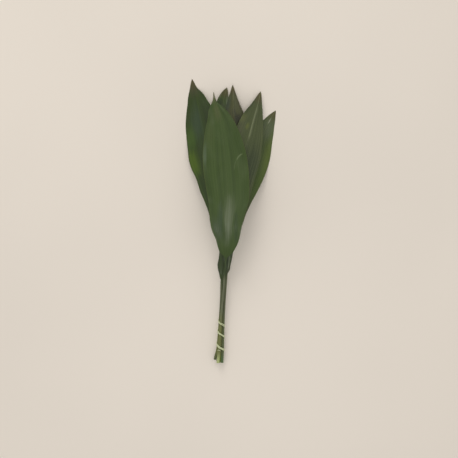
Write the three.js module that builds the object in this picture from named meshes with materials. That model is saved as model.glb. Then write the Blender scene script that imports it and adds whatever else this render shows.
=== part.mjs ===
// A bunch of six cut aspidistra (cast iron plant) leaves, held by one rubber band wound round their
// stalks, lying on its back on a flat surface.
//
// Each leaf grew as one piece: a channelled stalk, which runs on as the midrib, and a long pointed blade.
// The leaves lie in layers, arched over a common crown: the two outermost come down to the surface and
// lie flat on it there, and the cut ends of the two lowest stalks touch it at the other end.
//
// Millimetres. +Y runs from the cut ends to the leaf tips, +X to the right as seen from above, +Z up.
// The outlines below are laid out with Y = 0 at the cut ends, and the whole bunch is then moved so that
// the origin is on the surface, under the middle of the footprint.

import * as THREE from "three";

// ---- Driving sizes ----
const BLADE_THICKNESS = 0.8;
const MARGIN_THICKNESS = 0.65;
const STALK_GAP = 0.35; // between neighbouring stalks where the band holds them
// The band goes round the bundle from one step to another, step 0 being on top, and climbs as it goes.
const BAND = {
  width: 4.2, thickness: 1.1, gap: 0.35, pitch: 27, climbsBehind: 0.25, start: 22, stepsPerTurn: 24, from: -10, to: 57,
  pushedUp: 6, // how far its middle has been pushed up the bundle from an even climb
};
const END_SPREAD = 2.6; // how far the left leaf's cut end strays from the bundle
const TIED_UP_TO = 104; // stalks are packed side by side from the cut ends to here
const LAYERED_FROM = 196; // and the leaves lie in layers from here to their tips
const FLOOR_BLEND = 3; // how softly a blade comes down on the surface

// Stalk diameter along Y: thick at the cut base, slim at the neck.
const STALK_DIAMETER = [[0, 6.4], [35, 5.5], [64, 4.8], [92, 4.4], [140, 4.2], [190, 4.2], [260, 3.8]];
// The tied bundle leans a little: its middle line, and the height of its underside.
const BUNDLE_X = [[0, -22.8], [35, -20], [64, -18.5], [104, -16.4]];
const BUNDLE_UNDERSIDE = [[0, 0], [8, 0.35], [35, 2.5], [64, 4.6], [104, 7.2]];

// The blades arch over a common crown: a blade in the layer at height 0 is this high over X = 0, and
// is CROWN * x * x lower at x millimetres from there.
const RIDGE = [[196, 19], [240, 24], [300, 27], [360, 29], [420, 28], [480, 25], [540, 19], [600, 11], [655, 3]];
const CROWN = [[196, 0], [240, 0.0002], [300, 0.0012], [380, 0.0026], [450, 0.0034], [540, 0.0038], [655, 0.004]];
const LAYERS_PART = [196, 330]; // the layers go from their close heights to their loose ones between these

// Midrib radius along the blade, in millimetres, by share of the blade's length from its base.
const MIDRIB = [[0, 2], [0.15, 1.7], [0.4, 1.2], [0.7, 0.8], [1, 0.45]];
// How steeply each half of a blade rises beside its midrib, and how far out it flattens.
const FOLD = [[0, 0.14], [0.15, 0.12], [0.4, 0.06], [0.7, 0.05], [1, 0.12]];
const TOP_FOLD = [[0, 0.6], [0.1, 0.42], [0.25, 0.22], [0.45, 0.08], [0.7, 0.03], [1, 0.2]];
const FOLD_REACH = 18;

// Each leaf: its stalk's place in the packed bundle, in stalk pitches across and up; where its stalk is
// cut; the close and loose heights of its layer; its margins' waves as [height, waves along the blade,
// phase] for left and right; and, from the neck to the tip, [y, x of the midrib] and, from the blade's
// base to its tip, [y, half width on the left, half width on the right].
const LEAVES = [
  {
    name: "leaf_low_centre", colour: 0x47552f, slot: [-0.5, -0.866], cut: 2, layer: [-8.2, 0],
    wave: [[1, 3, 0.1], [0.8, 3, 0.6]], fold: FOLD,
    midrib: [[150, -16], [190, -12.7], [245, -9.5], [310, -11], [380, -14], [440, -18], [500, -20], [550, -18],
      [590, -14], [605, -12], [631, -5]],
    blade: [[176, 2.4, 2.4], [184, 5.5, 3], [191, 8, 3.6], [198, 9.6, 4.2], [205, 10.9, 5], [212, 12.8, 6.3],
      [219, 14.3, 7.6], [226, 15, 9], [240, 13, 10], [262, 13, 13], [293, 21, 20],
      [322, 29, 27], [350, 34, 33], [400, 39, 38], [450, 40.5, 40], [500, 38.5, 38.5], [540, 33, 33],
      [570, 24, 24], [596, 14.3, 15], [606, 10.8, 11], [616, 7, 7], [625, 3.4, 3.4], [631, 0.8, 0.8]],
  },
  {
    name: "leaf_low_right", colour: 0x4c5a33, slot: [0.5, -0.866], cut: 0.8, layer: [-4.3, 4.8],
    wave: [[0.8, 3, 0.3], [1.5, 3.5, 0.2]], fold: FOLD,
    midrib: [[150, -11.6], [190, -8.6], [245, -3], [305, 4], [370, 18], [407, 36], [443, 52], [476, 65],
      [516, 77], [549, 89], [579.3, 107.3]],
    blade: [[203, 2.4, 2.4], [213, 5, 5.2], [223, 7, 6.6], [233, 8, 10], [246, 9, 10.4], [265, 12, 11.6],
      [293, 18, 16.5], [322, 24, 22],
      [350, 28, 25.5], [368, 30, 28.6], [405, 32, 30.6], [443, 33, 33], [472, 30, 30.3], [500, 26, 26.6],
      [520, 22, 23.2], [540, 16.5, 18.6], [560, 10, 10.6], [572, 4.5, 4], [579.3, 0.8, 0.8]],
  },
  {
    name: "leaf_middle", colour: 0x4e5336, slot: [0, 0], cut: 1.5, layer: [-0.2, 9.6],
    wave: [[1, 3.2, 0.7], [1.2, 2.8, 0.25]], fold: FOLD,
    midrib: [[150, -13.6], [190, -11], [245, -7], [290, -3], [340, 2], [400, 8], [440, 12], [500, 15],
      [540, 14], [575, 10.4], [634.7, 8.5]],
    blade: [[202, 2.4, 2.4], [215, 6, 5.5], [226, 9, 7.5], [245, 9.5, 9.5], [265, 12.5, 13], [293, 21, 20],
      [322, 29, 27], [350, 34, 33.5], [400, 40, 39.5], [450, 42, 42], [500, 40.5, 40.5], [540, 33, 33],
      [570, 22.5, 23.1], [590, 16, 15.6], [609, 10, 9.1], [622, 5, 4.7], [634.7, 0.8, 0.8]],
  },
  {
    name: "leaf_left", colour: 0x47532e, slot: [-1, 0], cut: 6.8, layer: [3.8, 15],
    wave: [[2.2, 3.2, 0.15], [0.8, 3, 0.5]], fold: FOLD,
    midrib: [[150, -18.4], [190, -17], [240, -10.5], [300, -9.5], [352, -12], [380, -20.5], [412, -29.5],
      [441, -39.5], [465, -48], [488, -52], [540, -60.5], [607, -74.3], [653, -85.4]],
    blade: [[192, 2.4, 2.4], [205, 6, 6], [226, 10, 9.5], [245, 9.5, 11], [265, 11.5, 14], [293, 20, 22],
      [322, 29.5, 30], [350, 34, 35], [377, 36.3, 37], [405, 39, 40], [436, 39, 42], [470, 42.7, 43],
      [500, 41.5, 42.5], [525, 39.5, 40.5], [550, 37, 37], [577, 31, 30.3], [600, 23.2, 22.2],
      [615, 17.8, 16.4], [632, 10, 6.6], [645, 4.5, 3], [653, 0.8, 0.8]],
  },
  {
    name: "leaf_right", colour: 0x4e533e, slot: [1, 0], cut: 1, layer: [8, 20],
    wave: [[1, 3, 0.2], [1.6, 3.3, 0.55]], fold: FOLD,
    midrib: [[150, -9.2], [190, -6.2], [245, -3], [300, 1], [340, 4], [380, 8], [410, 14], [443, 23],
      [468, 31], [490, 38], [516, 45.4], [560, 57], [584, 64], [621.3, 72.5]],
    blade: [[208, 2.4, 2.4], [220, 5.5, 5.5], [245, 9.5, 9], [265, 13, 12.5], [293, 20.5, 18],
      [322, 28, 25.5], [350, 33.5, 32.5], [380, 37.5, 37.5], [410, 39.5, 40], [441, 40.5, 40.5],
      [474, 40, 39.4], [500, 37.5, 35.3], [530, 32.5, 29.5], [560, 26.4, 21.6], [592, 13.7, 9.7],
      [607, 7.3, 5], [621.3, 0.8, 0.8]],
  },
  {
    name: "leaf_front", colour: 0x4a5835, slot: [-0.4, 0.866], cut: 0, layer: [12.4, 28],
    wave: [[1.8, 3.4, 0.4], [2, 3, 0.05]], fold: TOP_FOLD,
    midrib: [[150, -14], [190, -11], [246, -6.8], [282, -4.5], [327, -4.5], [370, -2.4], [401, -3.4],
      [433, -6.1], [485, -10.6], [517, -14.2], [551, -19], [579, -26], [602, -32.2], [618.5, -34.1]],
    blade: [[235, 2.2, 2.2], [244, 8, 8], [254, 14.5, 13], [268, 19.2, 18], [283, 23.5, 24], [304, 32.6, 29],
      [328, 38.7, 34.3], [354, 42, 41], [375, 44.8, 47], [400, 47.8, 49.3], [428, 50.2, 50.7],
      [455, 50.9, 50.3], [480, 49.6, 47.7], [498, 46.8, 43.9], [520, 41.8, 38.6], [545, 34.4, 30],
      [565, 26.7, 21.2], [582, 18.6, 11.5], [594, 9.6, 3.4], [605, 3.2, 1.6], [618.5, 0.7, 0.7]],
  },
];

// ---- Curves ----

/** Value at x of a smooth curve through [x, value, ...] rows, rising in x; column picks the value. */
function smooth(rows, x, column = 1) {
  const last = rows.length - 1;
  if (x <= rows[0][0]) return rows[0][column];
  if (x >= rows[last][0]) return rows[last][column];
  let i = 0;
  while (rows[i + 1][0] < x) i += 1;
  const slope = (a, b) => (rows[b][column] - rows[a][column]) / (rows[b][0] - rows[a][0]);
  const tangent = (k) => (k === 0 ? slope(0, 1) : k === last ? slope(last - 1, last) : slope(k - 1, k + 1));
  const step = rows[i + 1][0] - rows[i][0];
  const t = (x - rows[i][0]) / step;
  const a = rows[i][column];
  const b = rows[i + 1][column];
  const cubic = 2 * t ** 3 - 3 * t ** 2;
  return (
    a * (cubic + 1) - b * cubic +
    step * (tangent(i) * (t ** 3 - 2 * t ** 2 + t) + tangent(i + 1) * (t ** 3 - t ** 2))
  );
}

/** 0 at from, 1 at to, and a smooth rise between; from may be above to. */
function ease(from, to, x) {
  const t = Math.min(1, Math.max(0, (x - from) / (to - from)));
  return t * t * (3 - 2 * t);
}

/** Height above the surface of something that would be at height z: it settles flat at 0. */
function settle(z) {
  if (z >= FLOOR_BLEND) return z;
  if (z <= -FLOOR_BLEND) return 0;
  return (z + FLOOR_BLEND) ** 2 / (4 * FLOOR_BLEND);
}

// ---- Where a leaf runs ----

/** Centre [x, z] of a leaf's stalk where the stalks are packed. */
function packedPlace(slot, y) {
  const radius = smooth(STALK_DIAMETER, y) / 2;
  const pitch = 2 * radius + STALK_GAP;
  const lowest = smooth(BUNDLE_UNDERSIDE, y) + radius;
  const spread = slot[0] < -0.9 ? END_SPREAD * ease(24, 0, y) : 0;
  return [smooth(BUNDLE_X, y) + slot[0] * pitch - spread, lowest + (slot[1] + 0.866) * pitch];
}

/** Height of a leaf's layer at [x, y]. */
function layerHeight(leaf, x, y) {
  const [close, loose] = leaf.layer;
  return smooth(RIDGE, y) + close + (loose - close) * ease(...LAYERS_PART, y) - smooth(CROWN, y) * x * x;
}

/** Where a leaf's midrib is at y, as [x, z]: packed with the others at first, then in its own layer. */
function place(leaf, y) {
  const packed = packedPlace(leaf.slot, y);
  if (y <= TIED_UP_TO) return packed;
  const rows = [TIED_UP_TO - 20, TIED_UP_TO].map((at) => [at, packedPlace(leaf.slot, at)[0]]);
  const x = smooth([...rows, ...leaf.midrib], y);
  const layered = layerHeight(leaf, x, y);
  return [x, packed[1] + (layered - packed[1]) * ease(TIED_UP_TO, LAYERED_FROM, y)];
}

// ---- A leaf ----

const COLUMNS = 9; // points across a leaf, on each face
const STALK_RINGS = [20, 44, 72, 104, 126, 148, 170]; // between the cut end and the blade's base
const BLADE_RINGS = 27;

/** The stalk's section as [across, bottom, top] for each column: round below, channelled above. */
function stalkSection(radius) {
  const rim = [0.1, 0.36, 0.6, 0.5, 0.32, 0.5, 0.6, 0.36, 0.1];
  return rim.map((top, k) => {
    const angle = Math.PI * (1 + k / (COLUMNS - 1));
    return [radius * Math.cos(angle), radius * Math.sin(angle), radius * top];
  });
}

/** The blade's section at y as [across, bottom, top] for each column, u being the share of its length. */
function bladeSection(leaf, y, u) {
  const rib = smooth(MIDRIB, u);
  const half = [smooth(leaf.blade, y, 1), smooth(leaf.blade, y, 2)];
  const shoulder = Math.min(rib, 0.2 * Math.min(...half));
  const [x, z] = place(leaf, y);
  const fold = smooth(leaf.fold, u);
  const height = (q) => {
    const [size, waves, phase] = leaf.wave[q < 0 ? 0 : 1];
    const wave = size * (q / 45) ** 2 * Math.sin(2 * Math.PI * (waves * u + phase));
    const lift = fold * FOLD_REACH * (1 - Math.exp(-Math.max(0, Math.abs(q) - shoulder) / FOLD_REACH));
    return z - smooth(CROWN, y) * ((x + q) ** 2 - x ** 2) + lift + wave;
  };
  return [-1, -0.72, -0.42, -shoulder, 0, shoulder, 0.42, 0.72, 1].map((share, k) => {
    const inner = k > 2 && k < 6;
    const q = inner ? share : share * half[k < 4 ? 0 : 1];
    const slope = (height(q + 1) - height(q - 1)) / 2;
    const edge = k === 0 || k === COLUMNS - 1;
    const thick = (edge ? MARGIN_THICKNESS : BLADE_THICKNESS) * Math.hypot(1, slope);
    const keel = k === 4 ? rib : 0;
    const bottom = settle(height(q) - thick / 2 - keel);
    return [q, bottom - z, bottom + thick + 0.75 * keel - z];
  });
}

/** Where a leaf's rings stand, from its cut end to its tip: closer together at both ends of the blade. */
function ringStations(leaf) {
  const base = leaf.blade[0][0];
  const tip = leaf.blade[leaf.blade.length - 1][0];
  const stations = [leaf.cut, ...STALK_RINGS, base];
  for (let i = 1; i <= BLADE_RINGS; i += 1) {
    const u = i / BLADE_RINGS;
    stations.push(base + (tip - base) * (u - 0.045 * Math.sin(2 * Math.PI * u)));
  }
  return stations;
}

/** One leaf: rings of points from the cut end to the tip, skinned into one closed body. */
function leafGeometry(leaf) {
  const stations = ringStations(leaf);
  const base = leaf.blade[0][0];
  const length = stations[stations.length - 1] - base;
  const points = [];
  for (const y of stations) {
    const [x, z] = place(leaf, y);
    const lean = place(leaf, y + 0.5)[0] - place(leaf, y - 0.5)[0];
    const sideways = [1 / Math.hypot(1, lean), -lean / Math.hypot(1, lean)];
    const round = stalkSection(smooth(STALK_DIAMETER, y) / 2);
    const flat = bladeSection(leaf, y, Math.max(0, (y - base) / length));
    const opened = ease(base - 4, base + 22, y);
    const mixed = round.map((row, k) => row.map((value, j) => value + (flat[k][j] - value) * opened));
    for (const face of [1, 2]) {
      for (const row of mixed) points.push(x + row[0] * sideways[0], y + row[0] * sideways[1], z + row[face]);
    }
  }
  return skin(points, stations.length, COLUMNS);
}

/** Closes rings of bottom and top points, with the same diagonals on both faces. */
function skin(points, rings, columns) {
  const bottom = (i, k) => i * 2 * columns + k;
  const top = (i, k) => bottom(i, k) + columns;
  const index = [];
  const quad = (a, b, c, d) => index.push(a, b, c, a, c, d);
  for (let i = 0; i < rings - 1; i += 1) {
    for (let k = 0; k < columns - 1; k += 1) {
      quad(top(i, k), top(i, k + 1), top(i + 1, k + 1), top(i + 1, k));
      index.push(bottom(i, k), bottom(i + 1, k + 1), bottom(i, k + 1));
      index.push(bottom(i, k), bottom(i + 1, k), bottom(i + 1, k + 1));
    }
    quad(bottom(i, 0), top(i, 0), top(i + 1, 0), bottom(i + 1, 0));
    const e = columns - 1;
    quad(top(i, e), bottom(i, e), bottom(i + 1, e), top(i + 1, e));
  }
  for (let k = 0; k < columns - 1; k += 1) {
    const end = rings - 1;
    quad(bottom(0, k), bottom(0, k + 1), top(0, k + 1), top(0, k));
    quad(bottom(end, k + 1), bottom(end, k), top(end, k), top(end, k + 1));
  }
  const geometry = new THREE.BufferGeometry();
  geometry.setAttribute("position", new THREE.Float32BufferAttribute(points, 3));
  geometry.setIndex(index);
  geometry.computeVertexNormals();
  return geometry;
}

// ---- The rubber band ----

/** Point [x, z] where a loop round the stalks, grown outwards by a distance, faces a direction at y. */
function loopPoint(angle, y, grown) {
  const out = [Math.cos(angle), Math.sin(angle)];
  const radius = smooth(STALK_DIAMETER, y) / 2 + grown;
  const centres = LEAVES.map((leaf) => packedPlace(leaf.slot, y));
  const reach = (centre) => centre[0] * out[0] + centre[1] * out[1];
  const touched = centres.reduce((best, centre) => (reach(centre) > reach(best) ? centre : best));
  return [touched[0] + radius * out[0], touched[1] + radius * out[1]];
}

/** The band's middle line as [y, direction it faces]: it climbs evenly with the length it goes round. */
function bandCourse() {
  const angle = (step) => Math.PI / 2 + (2 * Math.PI * step) / BAND.stepsPerTurn;
  const stretch = (step) => {
    const a = loopPoint(angle(step), BAND.start, BAND.gap);
    const b = loopPoint(angle(step + 1), BAND.start, BAND.gap);
    return Math.hypot(b[0] - a[0], b[1] - a[1]);
  };
  let around = 0;
  for (let step = 0; step < BAND.stepsPerTurn; step += 1) around += stretch(step);
  const course = [];
  let y = BAND.start;
  for (let step = BAND.from; step <= BAND.to; step += 1) {
    const share = (step - BAND.from) / (BAND.to - BAND.from);
    course.push([y + BAND.pushedUp * Math.sin(Math.PI * share), angle(step)]);
    y += ((BAND.pitch * stretch(step)) / around) * (1 - BAND.climbsBehind * Math.sin(angle(step + 0.5)));
  }
  return course;
}

/** The band: a flat strip with two raised strands, wound up the bundle. */
function bandGeometry() {
  const half = BAND.width / 2;
  // [along the bundle, share of the thickness]: inner face, then the two strands with a groove between
  const section = [[-half, 0], [half, 0], [half, 0.7], [half * 0.5, 1], [0, 0.75], [-half * 0.5, 1], [-half, 0.7]];
  const points = [];
  const course = bandCourse();
  for (const [y, angle] of course) {
    for (const [along, share] of section) {
      const [x, z] = loopPoint(angle, y + along, BAND.gap + share * BAND.thickness);
      points.push(x, y + along, z);
    }
  }
  const count = section.length;
  const index = [];
  for (let i = 0; i < course.length - 1; i += 1) {
    for (let k = 0; k < count; k += 1) {
      const a = i * count + k;
      const b = i * count + ((k + 1) % count);
      index.push(a, a + count, b + count, a, b + count, b);
    }
  }
  const end = (course.length - 1) * count;
  for (let k = 1; k < count - 1; k += 1) {
    index.push(0, k, k + 1);
    index.push(end, end + k + 1, end + k);
  }
  const geometry = new THREE.BufferGeometry();
  geometry.setAttribute("position", new THREE.Float32BufferAttribute(points, 3));
  geometry.setIndex(index);
  geometry.computeVertexNormals();
  return geometry;
}

// ---- The bunch ----

function piece(name, geometry, colour, roughness) {
  const material = new THREE.MeshStandardMaterial({ color: colour, roughness, metalness: 0 });
  const mesh = new THREE.Mesh(geometry, material);
  mesh.name = name;
  return mesh;
}

const bunch = new THREE.Group();
for (const leaf of LEAVES) bunch.add(piece(leaf.name, leafGeometry(leaf), leaf.colour, 0.5));
bunch.add(piece("band", bandGeometry(), 0xcdd0a0, 0.45));

const box = new THREE.Box3().setFromObject(bunch);
const middle = box.getCenter(new THREE.Vector3());
for (const mesh of bunch.children) mesh.geometry.translate(-middle.x, -middle.y, -box.min.z);

export default bunch;
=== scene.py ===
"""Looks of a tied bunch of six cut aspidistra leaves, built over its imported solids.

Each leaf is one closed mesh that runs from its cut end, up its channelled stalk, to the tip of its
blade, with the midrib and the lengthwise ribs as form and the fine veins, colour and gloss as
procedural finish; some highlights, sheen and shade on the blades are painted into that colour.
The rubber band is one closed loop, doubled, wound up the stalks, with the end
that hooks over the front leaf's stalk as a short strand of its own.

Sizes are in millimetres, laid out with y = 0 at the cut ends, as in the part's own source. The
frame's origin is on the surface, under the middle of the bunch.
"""

import logging
import math
from collections.abc import Sequence
from dataclasses import dataclass, field
from enum import Enum

import bpy
import numpy as np
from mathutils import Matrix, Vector
from numpy.typing import NDArray


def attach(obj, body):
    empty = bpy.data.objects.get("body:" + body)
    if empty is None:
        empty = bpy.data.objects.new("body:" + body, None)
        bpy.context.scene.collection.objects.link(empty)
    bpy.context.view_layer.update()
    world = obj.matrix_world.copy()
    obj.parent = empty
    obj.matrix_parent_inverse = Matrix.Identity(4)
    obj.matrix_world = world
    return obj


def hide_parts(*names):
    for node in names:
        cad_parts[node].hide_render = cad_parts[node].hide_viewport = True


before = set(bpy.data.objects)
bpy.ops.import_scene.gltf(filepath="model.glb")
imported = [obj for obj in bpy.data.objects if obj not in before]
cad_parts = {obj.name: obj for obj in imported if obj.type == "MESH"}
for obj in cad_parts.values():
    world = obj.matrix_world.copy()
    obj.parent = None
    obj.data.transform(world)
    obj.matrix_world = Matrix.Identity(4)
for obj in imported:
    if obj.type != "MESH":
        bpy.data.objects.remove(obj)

Floats = NDArray[np.float64]
Numbers = NDArray[np.int64]
Places = Floats | float
Pair = tuple[float, float]
Shade = tuple[int, int, int]  # red, green and blue as they look on a screen, 0 to 255
Colour = tuple[float, float, float, float]  # linear red, green and blue, and cover
Socket = bpy.types.NodeSocket
Value = float | Sequence[float] | Socket

LOG = logging.getLogger("bunch")
MM = 0.001
TURN = 2 * np.pi
ORIGIN = np.array([4.6235, 326.4756, 0.0])  # where the frame's origin is in the layout
BODY = "root"


# ---- Small tools ----


def paint(red: int, green: int, blue: int) -> Colour:
    """Turns a colour as it looks on a screen into a linear one.

    Args:
        red: Its red, 0 to 255.
        green: Its green, 0 to 255.
        blue: Its blue, 0 to 255.

    Returns:
        The linear colour, with full cover.
    """
    looks = [channel / 255 for channel in (red, green, blue)]
    linear = [v / 12.92 if v <= 0.04045 else ((v + 0.055) / 1.055) ** 2.4 for v in looks]
    return (linear[0], linear[1], linear[2], 1.0)


def ease(start: float, end: float, where: Places) -> Floats:
    """A smooth rise from 0 at start to 1 at end; start may be above end."""
    share = np.clip((np.asarray(where, float) - start) / (end - start), 0.0, 1.0)
    return share * share * (3.0 - 2.0 * share)


def bell(where: Floats, middle: float, reach: float) -> Floats:
    """A soft hump of height 1 at middle that has all but gone at twice its reach."""
    return np.exp(-(((where - middle) / reach) ** 2))


def length_along(line: Floats) -> Floats:
    """Length of a line of points up to each of them, from 0 at the first."""
    return np.concatenate([[0.0], np.cumsum(np.linalg.norm(np.diff(line, axis=0), axis=1))])


def to_frame(points: Floats) -> Floats:
    """Layout millimetres as metres in the frame."""
    return (points - ORIGIN) * MM


@dataclass(frozen=True)
class Curve:
    """A smooth curve through (place, value) rows that rise in place, level beyond both ends."""

    rows: tuple[Pair, ...]

    def at(self, where: Places) -> Floats:
        """Value of the curve.

        Args:
            where: Places to read it at.

        Returns:
            One value for each place.
        """
        place, value = np.array(self.rows, float).T
        tangent = np.empty(len(place))
        tangent[1:-1] = (value[2:] - value[:-2]) / (place[2:] - place[:-2])
        tangent[0] = (value[1] - value[0]) / (place[1] - place[0])
        tangent[-1] = (value[-1] - value[-2]) / (place[-1] - place[-2])
        x = np.clip(np.asarray(where, float), place[0], place[-1])
        i = np.clip(np.searchsorted(place, x, side="right") - 1, 0, len(place) - 2)
        step = place[i + 1] - place[i]
        t = (x - place[i]) / step
        cubic = 2 * t**3 - 3 * t**2
        bow = tangent[i] * (t**3 - 2 * t**2 + t) + tangent[i + 1] * (t**3 - t**2)
        return value[i] * (cubic + 1) - value[i + 1] * cubic + step * bow


class Slot(Enum):
    """The record's material slots."""

    LEAF_GREEN = "leaf_green"
    LEAF_OLIVE = "leaf_olive"
    BAND_RUBBER = "band_rubber"


@dataclass
class MeshDraft:
    """Points and faces of a mesh while it is being put together, in layout millimetres.

    Each point has a run, (share across, metres along, metres across), and a side, 1 on the upper
    face and 0 on the under face, which the finishes read.
    """

    points: list[Floats] = field(default_factory=list)
    runs: list[Floats] = field(default_factory=list)
    sides: list[Floats] = field(default_factory=list)
    faces: list[list[int]] = field(default_factory=list)
    slots: list[int] = field(default_factory=list)
    count: int = 0

    def add_points(self, points: Floats, runs: Floats, sides: Floats) -> Numbers:
        """Adds points.

        Args:
            points: Their places, in any shape that ends in 3.
            runs: Their runs, in the same shape.
            sides: Their sides, in that shape without the 3.

        Returns:
            The points' numbers, in the shape of sides.
        """
        numbers = np.arange(self.count, self.count + sides.size).reshape(sides.shape)
        self.points.append(points.reshape(-1, 3))
        self.runs.append(runs.reshape(-1, 3))
        self.sides.append(sides.reshape(-1))
        self.count += sides.size
        return numbers

    def add_grid(self, numbers: Numbers, slot: int = 0, turned: bool = False) -> None:
        """Joins a grid of points with four-sided faces.

        Args:
            numbers: The points' numbers, in rows and columns.
            slot: The faces' finish, by its place in the mesh's list.
            turned: Whether they face the other way.
        """
        a, b = numbers[:-1, :-1], numbers[:-1, 1:]
        c, d = numbers[1:, 1:], numbers[1:, :-1]
        corners = (a, d, c, b) if turned else (a, b, c, d)
        quads = np.stack(corners, axis=-1).reshape(-1, 4)
        self.faces.extend(quads.tolist())
        self.slots.extend([slot] * len(quads))

    def add_fan(self, rim: Numbers, centre: int, slot: int = 0) -> None:
        """Closes a ring of points with triangles.

        Args:
            rim: The numbers of the points round it.
            centre: The number of the point in its middle.
            slot: The faces' finish, by its place in the mesh's list.
        """
        for a, b in zip(rim, np.roll(rim, -1)):
            self.faces.append([int(a), int(b), centre])
            self.slots.append(slot)

    def finish(self, name: str, materials: Sequence[bpy.types.Material]) -> bpy.types.Object:
        """Makes the object.

        Args:
            name: The piece's name.
            materials: Its finishes, by face slot.

        Returns:
            The object, linked to the scene.
        """
        mesh = bpy.data.meshes.new(name)
        mesh.from_pydata(to_frame(np.concatenate(self.points)).tolist(), [], self.faces)
        for material in materials:
            mesh.materials.append(material)
        mesh.polygons.foreach_set("material_index", np.array(self.slots, np.int32))
        mesh.polygons.foreach_set("use_smooth", np.ones(len(self.faces), bool))
        run = mesh.attributes.new("run", "FLOAT_VECTOR", "POINT")
        run.data.foreach_set("vector", np.concatenate(self.runs).astype(np.float32).reshape(-1))
        side = mesh.attributes.new("side", "FLOAT", "POINT")
        side.data.foreach_set("value", np.concatenate(self.sides).astype(np.float32))
        mesh.update()
        piece = bpy.data.objects.new(name, mesh)
        bpy.context.scene.collection.objects.link(piece)
        return piece


class NodeBench:
    """Lays out the nodes of one material, on the shader that comes with it."""

    def __init__(self, name: str) -> None:
        """Starts the material.

        Args:
            name: The material's name.
        """
        self.material = bpy.data.materials.new(name)
        self.material.use_nodes = True
        self.tree = self.material.node_tree
        self.shader = self.tree.nodes["Principled BSDF"]
        self.read_run: tuple[Socket, Socket, Socket] | None = None

    def feed(self, socket: Socket, value: Value) -> None:
        """Links a socket to another, or sets its value.

        Args:
            socket: The one that is fed.
            value: The other socket, or the value.
        """
        if isinstance(value, bpy.types.NodeSocket):
            self.tree.links.new(value, socket)
        else:
            socket.default_value = value

    def node(self, kind: str, *values: Value) -> bpy.types.Node:
        """Adds a node.

        Args:
            kind: Its type, without the words that all of them start with.
            values: What its first sockets are fed.

        Returns:
            The node.
        """
        node = self.tree.nodes.new("ShaderNode" + kind)
        for socket, value in zip(node.inputs, values):
            self.feed(socket, value)
        return node

    def math(self, operation: str, first: Value, second: Value = 0.0) -> Socket:
        """Works out one sum.

        Args:
            operation: What is done with the two.
            first: The first number.
            second: The second, for an operation that takes it.

        Returns:
            The result.
        """
        node = self.node("Math", first, second)
        node.operation = operation
        return node.outputs[0]

    def plus(self, first: Value, second: Value) -> Socket:
        """The two added."""
        return self.math("ADD", first, second)

    def minus(self, first: Value, second: Value) -> Socket:
        """The first less the second."""
        return self.math("SUBTRACT", first, second)

    def times(self, first: Value, second: Value) -> Socket:
        """The two multiplied."""
        return self.math("MULTIPLY", first, second)

    def over(self, first: Value, second: Value) -> Socket:
        """The first divided by the second."""
        return self.math("DIVIDE", first, second)

    def size(self, value: Value) -> Socket:
        """The number without its sign."""
        return self.math("ABSOLUTE", value)

    def square(self, value: Value) -> Socket:
        """The number times itself."""
        return self.math("POWER", self.size(value), 2.0)

    def mix(self, share: Value, first: Value, second: Value) -> Socket:
        """Mixes two colours.

        Args:
            share: How much of the second there is, from 0 to 1.
            first: The colour at 0.
            second: The colour at 1.

        Returns:
            The mixed colour.
        """
        node = self.node("Mix", share)
        node.data_type = "RGBA"
        self.feed(node.inputs[6], first)
        self.feed(node.inputs[7], second)
        return node.outputs[2]

    def level(
        self, value: Value, start: float, end: float, low: float = 0.0, high: float = 1.0
    ) -> Socket:
        """Steps smoothly from one level to another.

        Args:
            value: What decides the level.
            start: Where the step begins; it may be above its end.
            end: Where the step ends.
            low: The level at its start and beyond.
            high: The level at its end and beyond.

        Returns:
            The level.
        """
        node = self.node("MapRange", value, start, end, low, high)
        node.interpolation_type = "SMOOTHSTEP"
        return node.outputs[0]

    def vector(self, x: Value, y: Value, z: Value = 0.0) -> Socket:
        """The three as one vector."""
        return self.node("CombineXYZ", x, y, z).outputs[0]

    def noise(self, vector: Value, scale: float = 1.0, detail: float = 2.0) -> Socket:
        """Makes cloudy noise.

        Args:
            vector: Where it is read.
            scale: How many clouds there are to 1.
            detail: How fine it goes.

        Returns:
            The noise, from 0 to 1 about 0.5.
        """
        node = self.node("TexNoise", vector)
        node.inputs["Scale"].default_value = scale
        node.inputs["Detail"].default_value = detail
        return node.outputs[0]

    def place(self) -> Socket:
        """Where a point is in its piece, in metres."""
        return self.node("TexCoord").outputs["Object"]

    def attribute(self, name: str) -> bpy.types.Node:
        """Reads one of the mesh's own attributes.

        Args:
            name: The attribute's name.

        Returns:
            The node that reads it.
        """
        node = self.node("Attribute")
        node.attribute_name = name
        return node

    def run(self) -> tuple[Socket, Socket, Socket]:
        """Reads the mesh's run, once for each material.

        Returns:
            Share across, metres along and metres across.
        """
        if self.read_run is None:
            parts = self.node("SeparateXYZ", self.attribute("run").outputs["Vector"]).outputs
            self.read_run = parts[0], parts[1], parts[2]
        return self.read_run

    def relief(self, height: Value, depth: float, strength: float) -> None:
        """Gives the surface fine relief.

        Args:
            height: Height from 0 to 1.
            depth: What a height of 1 stands for, in metres.
            strength: How much of it shows.
        """
        node = self.node("Bump")
        node.inputs["Distance"].default_value = depth
        node.inputs["Strength"].default_value = strength
        self.feed(node.inputs["Height"], height)
        self.feed(self.shader.inputs["Normal"], node.outputs[0])

    def dress(self, colour: Value, roughness: Value) -> None:
        """Feeds the shader's colour and roughness."""
        self.feed(self.shader.inputs["Base Color"], colour)
        self.feed(self.shader.inputs["Roughness"], roughness)


# ---- Finishes ----


@dataclass(frozen=True)
class Step:
    """A smooth step from low, where a value is at start, to high, where it is at end."""

    start: float
    end: float
    low: float = 0.0
    high: float = 1.0

    def at(self, bench: NodeBench, value: Value) -> Socket:
        """The level that the step has come to for that value."""
        return bench.level(value, self.start, self.end, self.low, self.high)


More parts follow.
